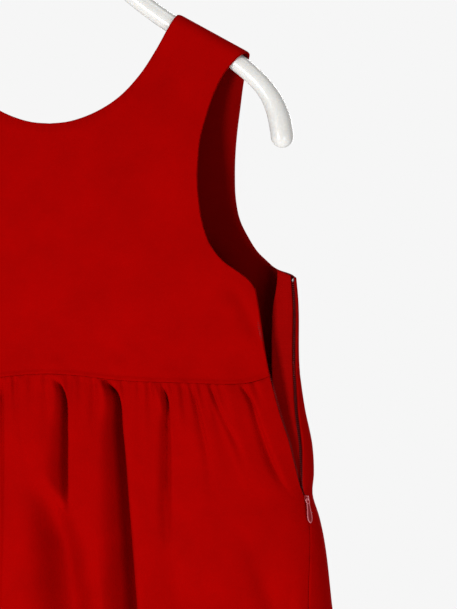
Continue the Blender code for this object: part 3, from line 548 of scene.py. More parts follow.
def outer_edge(side, hand):
    """The outer cut edge of half a bodice panel, in (angle, drop): armhole, side and waist."""
    armhole = FRONT_ARMHOLE if side == FRONT else BACK_ARMHOLE
    rest = 1 - (1 - np.linspace(0, 1, ARMHOLE_STEPS + 1 - ROLL_STEPS - UNDERARM_STEPS)) ** BUNCHED
    cut = in_angles(from_the_shoulder(SHOULDER_TIP, armhole, rest, -1), hand)
    rounded = UNDERARM_ROUNDING if (side, hand) == (FRONT, RIGHT) else 0.0
    low = UNDERARM[side, hand] + rounded
    corner = np.array([side_edge(np.array([low]), side, hand)[0], low])
    reach = np.linspace(0, 1, UNDERARM_STEPS + 1)[1:, None]
    if (side, hand) == (BACK, RIGHT):
        path = np.concatenate([cut[-1:], in_angles(np.array(BACK_UNDERARM), hand), [corner]])
        at = reach[:, 0] * (len(path) - 1)
        under = np.stack([smooth(at, range(len(path)), path[:, k]) for k in (0, 1)], axis=-1)
    elif rounded:
        turn = np.array([corner[0] - 0.004, low - rounded - 1])
        under = cut[-1] * (1 - reach) ** 2 + 2 * turn * reach * (1 - reach) + corner * reach**2
    else:
        falls = np.sin(reach * math.pi / 2) ** 0.7
        under = cut[-1] + (corner - cut[-1]) * np.concatenate([reach, falls], axis=1)
    angles = np.linspace(waist_ends(side)[hand == RIGHT], 0, WAIST_STEPS + 1)
    hem = np.stack([angles, waist(angles, side) - SEAM_GAP / 2], axis=-1)
    drops = np.linspace(corner[1], hem[0, 1], SIDE_STEPS + 1)[1:-1]
    sides = np.stack([side_edge(drops, side, hand), drops], axis=-1)
    return np.concatenate([cut, under, sides, hem])


def between(start, end, steps, by_x, bunched=1.0):
    """Points from start to end, both in (angle, drop), straight in x or straight in angle."""
    share = 1 - (1 - np.linspace(0, 1, steps + 1)[:, None]) ** bunched
    line = start * (1 - share) + end * share
    if by_x:
        ends = on_section(np.array([start[0], end[0]]), np.array([start[1], end[1]]))[0]
        line[:, 0] = angle_at(ends[0] * (1 - share[:, 0]) + ends[1] * share[:, 0], line[:, 1])
    return line


def half_bodice(side, hand):
    """Half a bodice panel as rows of points in (angle, drop), from the neckline out."""
    outer = outer_edge(side, hand)
    neckline = FRONT_NECKLINE if side == FRONT else BACK_NECKLINE
    ends = [ROLL_STEPS, ARMHOLE_STEPS, len(outer) - 1]
    rows = np.interp(np.arange(ROLL_STEPS, len(outer)), ends, [0, ARMHOLE_SHARE, 1])
    inner = in_angles(from_the_shoulder(NECK_POINT, neckline, rows, 1), hand)
    strap = between(inner[ROLL_STEPS], outer[ROLL_STEPS], 2, True)[1]
    middle = in_angles(np.array(FRONT_MIDDLE if side == FRONT else BACK_MIDDLE), hand)
    middle = np.concatenate([[strap], middle])
    grid = []
    for row, (start, end) in enumerate(zip(inner, outer)):
        if row < ROLL_STEPS:
            half = between(start, end, 2, True)[1]
        else:
            half = np.array([smooth(row / FINE, MIDDLE_ROWS, middle[:, k]) for k in (0, 1)])
        out = between(half, end, ACROSS_OUTER, row < ARMHOLE_STEPS - UNDERARM_STEPS, BUNCHED)
        grid.append(np.concatenate([between(start, half, ACROSS_INNER, True), out[1:]]))
    return np.array(grid)


# %% [markdown]
# ## From a surface to cloth
# A cut and sewn edge isn't sharp: the cloth is turned in there, so it is as round as the fold of a
# hem. The shell therefore ends in a half-round rim. Each shell has a UV map named cut, in metres of
# cloth, for the weave to follow, and the attribute seam. It is 1 along the shell's edges and fades within a
# few mm, and the cloth's material uses it to paint shade along the edges.

# %% A closed shell of cloth
RIM_TURNS = np.radians([60, 30, 0, -30, -60])
SEAM_SHADE_REACH = 4.0
SEAM_SOFTNESS = 0.3


def object_from(name, mesh, materials, sharp=None):
    """A finished mesh as an object at the origin."""
    made = placed(name, mesh)
    for material in materials:
        mesh.materials.append(material)
    mesh.shade_smooth()
    if sharp:
        mesh.set_sharp_from_angle(angle=math.radians(sharp))
    return made


def edge_loop(rows, columns):
    """The grid's edge places in order."""
    loop = [(i, 0) for i in range(rows)] + [(rows - 1, j) for j in range(1, columns)]
    loop += [(i, columns - 1) for i in range(rows - 2, -1, -1)]
    return loop + [(0, j) for j in range(columns - 2, 0, -1)]


def rims(points, out):
    """At each place of the edge, the unit direction in the cloth that points off it."""
    rows, columns = points.shape[:2]
    loop = edge_loop(rows, columns)
    i, j = np.array(loop).T
    edge = points[i, j]
    run = np.roll(edge, -1, axis=0) - np.roll(edge, 1, axis=0)
    off = np.cross(run, out[i, j])
    off /= np.linalg.norm(off, axis=1, keepdims=True)
    inside = points[np.clip(i, 1, rows - 2), np.clip(j, 1, columns - 2)]
    towards = np.sum(off * (edge - inside), axis=1)
    return i, j, off * np.where(np.median(towards) < 0, -1, 1)


def shell(name, points, out, thick, cut, materials, softness=None):
    """Cloth between a grid of points in mm and the same grid, so much further in, with round edges."""
    rows, columns = points.shape[:2]
    thick = np.broadcast_to(np.asarray(thick, float), (rows, columns))
    i, j, off = rims(points, out)
    half = thick[i, j][:, None] / 2
    deep = half if softness is None else half * softness[i, j][:, None]
    middle = points[i, j] - out[i, j] * half
    outer, inner = points.copy(), points - out * thick[..., None]
    outer[i, j] -= off * deep
    inner[i, j] -= off * deep
    rings = [middle + off * deep * (math.cos(t) - 1) + out[i, j] * half * math.sin(t)
             for t in RIM_TURNS]
    count, rim = rows * columns, len(i)
    verts = np.concatenate([outer.reshape(-1, 3), inner.reshape(-1, 3)] + rings) * MM
    at = np.arange(count).reshape(rows, columns)
    quads = np.stack([at[:-1, :-1], at[:-1, 1:], at[1:, 1:], at[1:, :-1]], axis=-1).reshape(-1, 4)
    lines = [2 * count + k * rim + np.arange(rim) for k in range(len(rings))]
    lines = [at[i, j]] + lines + [at[i, j] + count]
    strips = [np.stack([a, np.roll(a, -1), np.roll(b, -1), b], axis=-1)
              for a, b in zip(lines, lines[1:])]
    faces = np.concatenate([quads, quads[:, ::-1] + count] + strips)
    mesh = bpy.data.meshes.new(name)
    mesh.from_pydata(verts.tolist(), [], faces.tolist())
    uv = np.concatenate([cut.reshape(-1, 2)] * 2 + [cut[i, j]] * len(rings)) * MM
    uv = uv[faces.reshape(-1)].astype(np.float32).reshape(-1)
    mesh.uv_layers.new(name="cut").data.foreach_set("uv", uv)
    # The seam attribute: 1 at the edges and fading over SEAM_SHADE_REACH, which sets where the cloth's
    # colour is painted darker as shade
    gap = np.linalg.norm(points[:, :, None] - points[i, j][None, None, ::9], axis=-1).min(axis=-1)
    shade = 1 - eased(gap, 0, SEAM_SHADE_REACH)
    shade = np.concatenate([shade.reshape(-1)] * 2 + [np.ones(rim)] * len(rings)).astype(np.float32)
    mesh.attributes.new("seam", "FLOAT", "POINT").data.foreach_set("value", shade)
    inside = np.zeros(len(faces), np.int32)
    inside[len(quads):2 * len(quads)] = 1
    mesh.polygons.foreach_set("material_index", inside)
    turned = bmesh.new()
    turned.from_mesh(mesh)
    bmesh.ops.recalc_face_normals(turned, faces=turned.faces)
    turned.to_mesh(mesh)
    turned.free()
    return object_from(name, mesh, materials)


def half_surface(piece):
    """Half of a closed shell's surface, in square metres."""
    return sum(face.area for face in piece.data.polygons) / 2


# %% [markdown]
# ## Cloth finishes
# The dress is a cotton sateen: a satin weave, so its face is smooth with a soft bloom and hardly any
# gloss. Real threads are 0.2 mm apart, too fine for the picture, so the weave is drawn at 0.6 mm. Dye
# takes a little unevenly, and the colour is painted darker along the turned edges as painted shade. The
# wrong side is duller, and its red is painted darker as painted shade inside the dress.

# %% A woven cloth
THREAD_SHOWN = 0.6 * MM
WAVES_PER_SCALE = 2 * math.pi / 20


def woven(name, colour, deep, roughness, sheen, thread, bump):
    """A cloth material: two crossing sets of threads, uneven dye, painted shade darkening its edges, and a
    soft sheen.
    """
    made = bpy.data.materials.new(name)
    tree = emptied(made)
    cut = add(tree, "ShaderNodeUVMap", uv_map="cut").outputs[0]
    scale = WAVES_PER_SCALE / thread

    def threads(direction, scale, distortion):
        sockets = {"Vector": cut, "Scale": scale, "Distortion": distortion}
        return add(tree, "ShaderNodeTexWave", sockets, bands_direction=direction).outputs["Fac"]

    def noise(scale, detail, rough):
        sockets = {"Vector": cut, "Scale": scale, "Detail": detail, "Roughness": rough}
        return add(tree, "ShaderNodeTexNoise", sockets).outputs["Fac"]

    def reckoned(operation, *values):
        return add(tree, "ShaderNodeMath", dict(enumerate(values)), operation=operation).outputs[0]

    weave = reckoned("MULTIPLY", threads("X", scale, 0.6), threads("Y", scale * 0.7, 0.8))
    dye, slub = noise(26.0, 3.0, 0.6), noise(420.0, 2.0, 0.5)
    # Painted shade: the seam attribute mixes the colour towards deep along the cloth's edges, on top of the
    # uneven dye and slubs
    seam = add(tree, "ShaderNodeAttribute", attribute_name="seam").outputs["Fac"]
    even = add(tree, "ShaderNodeMapRange", {"Value": dye, "From Min": 0.3, "From Max": 0.7, "To Max": 0.32})
    dye_and_edge_shade = reckoned("MULTIPLY_ADD", seam, 0.35, reckoned("MULTIPLY_ADD", slub, 0.16, even.outputs[0]))
    tint = add(tree, "ShaderNodeMix", {0: dye_and_edge_shade, 6: linear(colour), 7: linear(deep)}, data_type="RGBA")
    rise = reckoned("MULTIPLY_ADD", slub, 0.8, weave)
    bumped = add(tree, "ShaderNodeBump", {"Strength": bump, "Distance": 0.0003, "Height": rise})
    shader = add(tree, "ShaderNodeBsdfPrincipled", {
        "Base Color": tint.outputs[2], "Roughness": roughness, "Normal": bumped.outputs[0],
        "IOR": 1.5, "Specular IOR Level": 0.015,
        "Sheen Weight": sheen, "Sheen Roughness": 0.45, "Sheen Tint": linear("#FF0A04")})
    add(tree, "ShaderNodeOutputMaterial", {"Surface": shader.outputs[0]})
    return made


RED_SATEEN = woven("red_cotton_sateen", "#AE0100", "#8C0100", 0.82, 0.10, THREAD_SHOWN, 0.25)
# The wrong side is a duller cloth, and its red is also painted darker than the face to stand for the shade
# inside the dress
WRONG_SIDE_WITH_PAINTED_SHADE = woven("red_cotton_lining_with_painted_shade", "#820201", "#680101", 0.9, 0.05, THREAD_SHOWN, 0.35)
ZIP_TAPE = woven("red_polyester_zip_tape", "#A20302", "#840201", 0.75, 0.05, 0.9 * MM, 0.5)
print("weave drawn", round(THREAD_SHOWN / MM, 2), "mm apart")

# %% The two bodice panels
COTTON = (RED_SATEEN, WRONG_SIDE_WITH_PAINTED_SHADE)
RIDGE_HEIGHT = 0.7
RING_ANGLES = np.radians(np.linspace(-100, 125, 500))


def round_the_body(angle, side):
    """How far round the body a place is from the centre line, in mm."""
    way = way_along(body(RING_ANGLES, np.full(len(RING_ANGLES), WAIST_DROP), side))
    return np.interp(angle, RING_ANGLES, way - np.interp(0, RING_ANGLES, way))


def valleys(x, drop, rows, fade, widens):
    """How far these folds push the cloth in at (x, drop). Each line is a parabola through its row's
    three points."""
    depth = np.zeros(np.broadcast(x, drop).shape)
    for x0, d0, x1, d1, x2, d2, left, right, deep in rows:
        lines = (
            x0 * (drop - d1) * (drop - d2) / ((d0 - d1) * (d0 - d2))
            + x1 * (drop - d0) * (drop - d2) / ((d1 - d0) * (d1 - d2))
            + x2 * (drop - d0) * (drop - d1) / ((d2 - d0) * (d2 - d1))
        )
        wider = 1 + widens * np.maximum(drop - WIDENS_FROM, 0) / WIDENS_OVER
        slope = np.where(x < lines, left, right) * wider
        start = eased(drop, d0 - 2, d0 + (fade if d0 < FROM_THE_SEAM else LOW_FOLD_FADE))
        end = 1 if d2 > HEM_DROP else 1 - eased(drop, d1, d2)
        depth = np.maximum(depth, deep * start * end * np.exp(-(((x - lines) / slope) ** 2)))
    return depth


def cores(x, drop, rows):
    """How far the folds' narrow cores push the cloth in, each along a path of (x, drop), and sideways
    under the lobe that overhangs it."""
    depth = np.zeros(np.broadcast(x, drop).shape)
    aside = np.zeros(depth.shape)
    for path, left, right, deep in rows:
        at, down = np.array(path, float).T
        line = smooth(drop, down, at)
        wider = 0.6 + 0.4 * eased(drop, 280, 350) + np.maximum(drop - 350.0, 0) / 260.0
        from_seam = down[0] < FROM_THE_SEAM
        pointed = 0.4 + 0.6 * eased(drop, down[0], down[0] + CORE_POINT) if from_seam else 1
        slope = np.where(x < line, left * wider * pointed, right * (0.4 + 0.6 * wider))
        start = eased(drop, down[0] - 3, down[0] + (CORE_FADE if from_seam else LOW_CORE_FADE))
        end = 1 if down[-1] > HEM_DROP else 1 - eased(drop, down[-3], down[-1])
        pushed = deep * start * end * np.exp(-(((x - line) / slope) ** 2))
        aside = np.where(pushed > depth, pushed * OVERHANG * np.clip((left - right) / 2, -0.3, 1), aside)
        depth = np.maximum(depth, pushed)
    return depth, aside


def bodice(name, side):
    """A bodice panel with its soft dents, and the ridge where the waist seam's turnings lie under it."""
    left, right = half_bodice(side, LEFT), half_bodice(side, RIGHT)
    grid = np.concatenate([left, right[-2::-1]])

    def face(angle, drop):
        x = on_section(angle, drop)[0]
        above = waist(angle, side) - drop
        ridge = RIDGE_HEIGHT * (1 - eased(above, 1.4, 3.6)) * (1 - eased(np.abs(x), 150, 178))
        pushed = ridge - valleys(x, drop, DENTS[side], DENT_FADE, 0)
        for at, down, reach, high in BUMPS[side]:
            pushed = pushed + high * np.exp(-(((x - at) / reach) ** 2) - ((drop - down) / reach) ** 2)
        pushed = pushed + 0.35 * np.sin(x / 31 + 0.6) * np.sin(drop / 43 + side)
        return body(angle, drop, side, pushed * eased(drop, 30, 60))

    points = face(grid[..., 0], grid[..., 1])
    out = outward(face, grid[..., 0], grid[..., 1], side)
    cut = np.stack([round_the_body(grid[..., 0], side), grid[..., 1]], axis=-1)
    softness = np.ones(grid.shape[:2])
    softness[0] = softness[-1] = SEAM_SOFTNESS
    softness[ARMHOLE_STEPS:len(grid) - ARMHOLE_STEPS - SIDE_STEPS, -1] = SEAM_SOFTNESS
    return shell(name, points, out, CLOTH, cut, COTTON, softness)


bodice_front = bodice("bodice_front_cloth", FRONT)
bodice_back = bodice("bodice_back_cloth", BACK)
for piece in (bodice_front, bodice_back):
    print(piece.name, len(piece.data.polygons), "faces,", round(half_surface(piece), 4), "m2")

# %% [markdown]
# ## The skirt panels
# A gathered skirt is a wide rectangle pulled up to the width of the bodice. Small ridges start at the
# seam and fade, a few of them grow into the large folds, and the cloth between hangs smooth.

# %% The skirt's surface
GATHERS = 26
GATHER_HEIGHT = 2.4
GATHER_LENGTH = 34.0
LEVEL_BELOW = 60.0
HEM_TURNED_UP = 22.0
GATHER_SHARE, PUCKER_SHARE = 0.6, 1.8
# Where the edge at the zip would run, in degrees, if it stood shut: at the waist and well below the zip
SHUT_EDGE = {FRONT: (55.8, 68.5), BACK: (104.4, 111.5)}


def gather_marks():
    """Where the gathers' valleys lie across a panel, as shares of its width."""
    k = np.arange(GATHERS + 1)
    marks = k + 0.24 * np.sin(2.4 * k) * (k > 0) * (k < GATHERS)
    return marks / GATHERS


def even_angles(side):
    """Angles that divide the panel's width at the waist evenly, and their shares."""
    left, right = waist_ends(side)
    angles = np.linspace(left, right, 400)
    way = way_along(body(angles, np.full(len(angles), WAIST_DROP), side))
    return way / way[-1], (angles - left) / (right - left)


def gathers(count, drop_below):
    """How far the gathers raise the cloth, at a place counted in gathers and a drop below the seam."""
    which = np.floor(count)
    height = GATHER_HEIGHT * (0.75 + 0.35 * np.sin(1.7 * which + 0.6))
    length = GATHER_LENGTH * (1 + 0.55 * np.sin(2.9 * which + 1.1))
    held = 0.35 + 0.65 * eased(drop_below, 0.0, 7.0)
    at_the_sides = eased(count, 0, 1.5) * (1 - eased(count, GATHERS - 1.5, GATHERS))
    ridge = 0.5 - 0.5 * np.cos(2 * math.pi * count)
    return height * ridge * held * at_the_sides * np.exp(-((drop_below / length) ** 2))


def puckers(x, drop_below, side):
    """How far the short creases at the seam push the cloth in."""
    depth = 0
    for at, lean, length, wide, deep in CREASES[side]:
        line = at + lean * drop_below / length
        spread = wide * (1 + drop_below / 40)
        fades = np.exp(-((drop_below / length) ** 2)) * (0.45 + 0.55 * eased(drop_below, 0, 5))
        depth = depth + deep * fades * np.exp(-(((x - line) / spread) ** 2))
    return depth


def skirt_face(side):
    """The gathered skirt's outer face, by its place across, counted in gathers, and its drop."""
    share_of_way, share_of_angle = even_angles(side)
    marks = gather_marks()

    def face(count, drop):
        way = np.interp(count, np.arange(GATHERS + 1), marks)
        share = np.interp(way, share_of_way, share_of_angle)
        left, right = side_edge(drop, side, LEFT), side_edge(drop, side, RIGHT)
        plain = np.radians(np.interp(drop, (WAIST_DROP, 400), SHUT_EDGE[side]))
        angle = left + share * (plain - left) + (right - plain) * eased(share, 0.75, 1.0)
        x, y, _, _ = on_section(angle, drop)
        ends = [on_section(edge, drop) for edge in (left, right)]
        to_seam = np.minimum(*[np.hypot(x - e[0], y - e[1]) for e in ends])
        clear = eased(to_seam, FOLDS_CLEAR_OF_SEAM, 2 * FOLDS_CLEAR_OF_SEAM)
        seam = waist(angle, side) + SEAM_GAP / 2
        below = np.maximum(drop - seam, 0)
        broad = BROAD_SHARE * clear * valleys(x, drop, FOLDS[side], FOLD_FADE, FOLD_WIDENS)
        depth, aside = cores(x, drop, CORES[side])
        pushed = gathers(count, below) * GATHER_SHARE - broad - eased(to_seam, 5, 15) * depth
        pushed = pushed - PUCKER_SHARE * eased(to_seam, 6, 14) * puckers(x, below, side)
        pushed = pushed + clear * 0.5 * np.sin(x / 19 + 0.004 * drop + side) * eased(below, 40, 140)
        at = body(angle, np.maximum(drop, seam), side, pushed)
        at[..., 0] += aside * eased(to_seam, 8, 24) * eased(below, 2, 14)
        return at

    return face


# %% The two skirt panels
SKIRT_COLUMNS = 15
SKIRT_ROWS = 104
ROWS_BUNCHED = 1.45
HEM_THICKER = 0.9


def skirt(name, side):
    """A skirt panel, from the waist seam to a hem that is turned up inside."""
    face = skirt_face(side)
    count = np.linspace(0, GATHERS, GATHERS * SKIRT_COLUMNS + 1)
    share_of_way, share_of_angle = even_angles(side)
    way = np.interp(count, np.arange(GATHERS + 1), gather_marks())
    left, right = waist_ends(side)
    angle = left + np.interp(way, share_of_way, share_of_angle) * (right - left)
    top = waist(angle, side) + SEAM_GAP / 2
    fallen = (HEM_DROP - WAIST_DROP) * np.linspace(0, 1, SKIRT_ROWS)[:, None] ** ROWS_BUNCHED
    drop = WAIST_DROP + fallen + (top - WAIST_DROP) * (1 - eased(fallen, 0, LEVEL_BELOW))
    across = np.broadcast_to(count, drop.shape)
    points = face(across, drop)
    out = outward(face, across, drop + 0.05, side, GATHER_STEPS)
    out[0] = levelled(out[0])
    width = way_along(points[-1])
    cut = np.stack(np.broadcast_arrays(width, drop), axis=-1)
    hem_fold = HEM_DROP - HEM_TURNED_UP
    turned_up = HEM_THICKER * eased(drop, hem_fold - 1.5, hem_fold + 0.5)
    softness = np.ones(drop.shape)
    softness[0] = softness[:, 0] = SEAM_SOFTNESS
    softness[drop[:, -1] > TAPE_END, -1] = SEAM_SOFTNESS
    return shell(name, points, out, CLOTH + turned_up, cut, COTTON, softness), width[-1]


skirt_front, skirt_front_width = skirt("skirt_front_cloth", FRONT)
skirt_back, skirt_back_width = skirt("skirt_back_cloth", BACK)
for piece, hem in ((skirt_front, skirt_front_width), (skirt_back, skirt_back_width)):
    print(piece.name, round(half_surface(piece), 4), "m2, hem", round(hem), "mm round its folds")

# %% [markdown]
# ## The zip's tapes
# A zip's tape is a narrow polyester ribbon, sewn inside each edge of the opening. The front's lies on
# the inside of its edge. The back's stands free, because the cloth there rolls forward, so most of its
# width shows in the opening. Its top corner is cut away so that it doesn't show above the armhole.

# %% Points along the zip
TAPE_HEADING = np.array([[196.0, 176], [235, 177], [320, 176], [345, 170], [380, 140]])
UNDER_THE_CLOTH = CLOTH + 0.3 + TAPE_THICKNESS / 2


def in_from_zip(side, inward, drop):
    """The plain outer face at the zip and the way out of it, so many mm in from the panel's edge."""
    edge = zip_edge(drop, side)
    return plain_cloth(edge - inward / mm_per_radian(edge, drop, side), drop, side)


def tape(name, middle, width, drop):
    """A tape, half of its thickness to each side of a grid of points along its middle."""
    out = np.cross(np.gradient(middle, axis=0), np.gradient(middle, axis=1))
    out /= np.linalg.norm(out, axis=-1, keepdims=True)
    cut = np.stack(np.broadcast_arrays(width, drop), axis=-1)
    face = middle + out * TAPE_THICKNESS / 2
    return shell(name, face, out, TAPE_THICKNESS, cut, (ZIP_TAPE, ZIP_TAPE))


# %% The two tapes
BACK_STRIP_WIDTH, BACK_TOP_WIDTH = 17.0, 11.0
BACK_STRIP_TOP, TOP_SLANT = 200.0, 0.42
TAPE_EDGE_IN, FRONT_STANDS_PAST = 0.7, 1.2
AT_THE_SLIDER = 345.0, 366.0


def front_tape():
    """The front's tape, which lies on the inside of its edge and stands past it above the slider."""
    drop = np.linspace(FRONT_TAPE_START, TAPE_END - 1, 80)[:, None]
    share = np.linspace(1, 0, 13)
    past = FRONT_STANDS_PAST * (1 - eased(drop, *AT_THE_SLIDER)) - TAPE_EDGE_IN
    inward = share * FRONT_TAPE_WIDTH - (1 - share) * past
    face, out = in_from_zip(FRONT, inward, drop + 0 * inward)
    inset = UNDER_THE_CLOTH + 0.3 + 0.7 * share
    return tape("zip_tape_front_cloth", face - inset[:, None] * out, inward, drop)


def back_tape():
    """The back's tape, which stands free above the slider and lies on the cloth below it."""
    share = np.linspace(0, 1, 17)
    down = np.linspace(0, 1, 100)[:, None]
    wider = (BACK_STRIP_WIDTH - BACK_TOP_WIDTH) * eased(down, 0.0, 0.22)
    width = BACK_TOP_WIDTH + wider - 6.0 * eased(down, 0.82, 1)
    inward = TAPE_EDGE_IN + share * (width - TAPE_EDGE_IN)
    top = BACK_STRIP_TOP - TOP_SLANT * inward
    drop = top + (TAPE_END - 1 - top) * down
    face, out = in_from_zip(BACK, inward, drop)
    inset = UNDER_THE_CLOTH + 0.4 + 0.6 * np.sin(share * math.pi)
    lying = face - inset[:, None] * out
    edge, edge_out = in_from_zip(BACK, np.full_like(drop, TAPE_EDGE_IN), drop)
    heading = np.radians(smooth(drop, TAPE_HEADING[:, 0], TAPE_HEADING[:, 1]))
    away = np.stack([np.cos(heading), np.sin(heading), 0 * heading], axis=-1)
    bowed = 0.9 * np.sin(share * math.pi) * np.sin(drop / 21 + 1.0) + 1.4 * share**2
    standing = edge - (inset[0] + 0.1) * edge_out + (inward - TAPE_EDGE_IN)[..., None] * away
    standing = standing + bowed[..., None] * np.array([0.0, 1.0, 0.0])
    free = 1 - eased(drop, 342.0, 368.0)[..., None]
    return tape("zip_tape_back_cloth", free * standing + (1 - free) * lying, inward, drop)


zip_front, zip_back = front_tape(), back_tape()
print("tapes", round(half_surface(zip_front), 5), round(half_surface(zip_back), 5), "m2")

# %% [markdown]
# ## Things that repeat: coil teeth and stitches
# A coil zip's teeth are loops of one nylon wire, 1.5 mm apart, and a row of sewing is one stitch after
# another. Both are a small shape set again and again along a line, so one function makes the Geometry
# Nodes tree of each. It spaces points evenly along the line, turns each copy by the line's direction
# and by the way out of the cloth that is stored on it, and varies their size a little.

# %% A tree that repeats a shape along a line
WIRE_SHARE = 0.34
LOOP_TURN = (0, math.pi / 2, 0.2)


def group_inputs(tree, names):
    """Gives a tree its geometry sockets and its named inputs."""
    tree.interface.new_socket("Line", in_out="INPUT", socket_type="NodeSocketGeometry")
    for name, kind in names:
        tree.interface.new_socket(name, in_out="INPUT", socket_type="NodeSocket" + kind)
    tree.interface.new_socket("Made", in_out="OUTPUT", socket_type="NodeSocketGeometry")
    return add(tree, "NodeGroupInput").outputs


def finished(tree, shapes, given):
    """Ends a tree: its shapes are made real and take its material."""
    real = add(tree, "GeometryNodeRealizeInstances", {"Geometry": shapes.outputs[0]})
    sockets = {"Geometry": real.outputs[0], "Material": given["Material"]}
    add(tree, "NodeGroupOutput", {0: add(tree, "GeometryNodeSetMaterial", sockets).outputs[0]})
    return tree


def repeat_tree(name, loop):
    """Copies of a wire loop, or of a stitch, along a line."""
    tree = bpy.data.node_groups.new(name, "GeometryNodeTree")
    kinds = [("Pitch", "Float"), ("Size", "Vector"), ("Uneven", "Float"), ("Material", "Material")]
    given = group_inputs(tree, kinds)
    path = add(tree, "GeometryNodeMeshToCurve", {0: given["Line"]}).outputs[0]
    spots = add(tree, "GeometryNodeResampleCurve", {"Curve": path, "Length": given["Pitch"]}, mode="LENGTH")
    out = add(tree, "GeometryNodeInputNamedAttribute", {"Name": "out"}, data_type="FLOAT_VECTOR").outputs[0]
    run = add(tree, "GeometryNodeInputTangent").outputs[0]
    upright = add(tree, "FunctionNodeAlignRotationToVector", {"Vector": out}, axis="Z").outputs[0]
    turned = add(tree, "FunctionNodeAlignRotationToVector", {"Rotation": upright, "Vector": run},
                 axis="X", pivot_axis="Z").outputs[0]
    if loop:
        ring, wire = (add(tree, "GeometryNodeCurvePrimitiveCircle", {"Resolution": count, "Radius": radius})
                      for count, radius in ((10, 1.0), (5, WIRE_SHARE)))
        sockets = {"Curve": ring.outputs[0], "Profile Curve": wire.outputs[0]}
        unit = add(tree, "GeometryNodeCurveToMesh", sockets).outputs[0]
        shape = add(tree, "GeometryNodeTransform", {"Geometry": unit, "Rotation": LOOP_TURN})
    else:
        shape = add(tree, "GeometryNodeMeshUVSphere", {"Segments": 6, "Rings": 4, "Radius": 1.0})
    low = add(tree, "ShaderNodeMath", {0: 1.0, 1: given["Uneven"]}, operation="SUBTRACT").outputs[0]
    some = add(tree, "FunctionNodeRandomValue", {2: low, 3: 1.0, "Seed": 7}, data_type="FLOAT").outputs[1]
    size = add(tree, "ShaderNodeVectorMath", {0: given["Size"], "Scale": some}, operation="SCALE")
    copies = add(tree, "GeometryNodeInstanceOnPoints", {
        "Points": spots.outputs[0], "Instance": shape.outputs[0], "Rotation": turned,
        "Scale": size.outputs[0]})
    return finished(tree, copies, given)


COIL_TREE = repeat_tree("coil_teeth", True)
STITCH_TREE = repeat_tree("row_of_stitches", False)


# %% Running a tree on lines


def grown(name, tree, lines, values):
    """Lines, each (points in mm, a value or a direction at each), through a tree, as a plain mesh."""
    verts, links, stored = [], [], []
    for points, extra in lines:
        links += [(len(verts) + k, len(verts) + k + 1) for k in range(len(points) - 1)]
        verts += (np.asarray(points) * MM).tolist()
        stored.append(extra)
    stored = np.concatenate(stored).astype(np.float32)
    path = bpy.data.meshes.new(name + "_line")
    path.from_pydata(verts, links, [])
    kind = ("out", "FLOAT_VECTOR", "vector") if stored.ndim == 2 else ("thick", "FLOAT", "value")
    path.attributes.new(kind[0], kind[1], "POINT").data.foreach_set(kind[2], stored.reshape(-1))
    holder = placed(name + "_line", path)
    grow = holder.modifiers.new("grow", "NODES")
    grow.node_group = tree
    for item in tree.interface.items_tree:
        if item.in_out == "INPUT" and item.name in values:
            grow[item.identifier] = values[item.name]
    bpy.context.view_layer.update()
    mesh = bpy.data.meshes.new_from_object(holder.evaluated_get(bpy.context.evaluated_depsgraph_get()))
    mesh.name = name
    bpy.data.objects.remove(holder)
    return object_from(name, mesh, [])


# %% [markdown]
# ## Finishes of the small parts
# Coil: nylon wire, dyed and smooth, so it glints. Thread: spun polyester, matt. Slider and tab:
# die-cast zinc with a baked red enamel, glossy. Their bead, eye and bridge are painted a lighter pink as a
# painted highlight along those rims. Top stops: bare
# aluminium. Hanger: injection-moulded polystyrene, white and glossy with faint flow waviness.

# %% Smooth finishes


def smooth_finish(name, colour, deep, roughness, wave_mm, bump, **sockets):
    """A moulded or metal finish: uneven colour, soft waviness and fine scratches in its gloss."""
    made = bpy.data.materials.new(name)
    tree = emptied(made)
    place = add(tree, "ShaderNodeTexCoord").outputs["Object"]
    cloud, fine = (add(tree, "ShaderNodeTexNoise", {
        "Vector": place, "Scale": waves / (wave_mm * MM), "Detail": detail}).outputs["Fac"]
        for waves, detail in ((1, 2.0), (9, 3.0)))
    tint = add(tree, "ShaderNodeMix", {0: cloud, 6: linear(colour), 7: linear(deep)}, data_type="RGBA")
    gloss = add(tree, "ShaderNodeMapRange", {"Value": fine, "From Min": 0.3, "From Max": 0.7,
                                             "To Min": roughness * 0.85, "To Max": roughness * 1.2})
    bumped = add(tree, "ShaderNodeBump", {"Strength": bump, "Distance": 0.0002, "Height": cloud})
    shader = add(tree, "ShaderNodeBsdfPrincipled", {
        "Base Color": tint.outputs[2], "Roughness": gloss.outputs[0], "Normal": bumped.outputs[0],
        **sockets})
    add(tree, "ShaderNodeOutputMaterial", {"Surface": shader.outputs[0]})
    return made


NYLON_COIL = smooth_finish("dyed_nylon_coil", "#8E0810", "#6C060C", 0.4, 3.0, 0.2, IOR=1.53)
THREAD = smooth_finish("spun_polyester_thread", "#930604", "#7A0303", 0.85, 0.8, 0.6)
ENAMEL = smooth_finish("red_enamelled_zinc", "#A41A22", "#7C0E15", 0.26, 2.5, 0.15, **{
    "Coat Weight": 0.6, "Coat Roughness": 0.08})
# A lighter pink enamel for the rods: a painted highlight along the tab's bead and eye and the slider's
# bridge
PAINTED_HIGHLIGHT_ENAMEL = smooth_finish("red_enamel_painted_highlight", "#D9767E", "#C25A62", 0.3, 1.2, 0.15, **{"Coat Weight": 0.5})
ALUMINIUM = smooth_finish("bare_aluminium", "#D8D8DA", "#BDBDC0", 0.3, 1.5, 0.2, Metallic=1.0)
HANGER_WHITE = smooth_finish("white_moulded_polystyrene", "#F8F7F3", "#F4F2EE", 0.26, 30.0, 0.2, **{
    "IOR": 1.59, "Subsurface Weight": 0.3, "Subsurface Scale": 0.006,
    "Subsurface Radius": (1.0, 0.9, 0.8)})

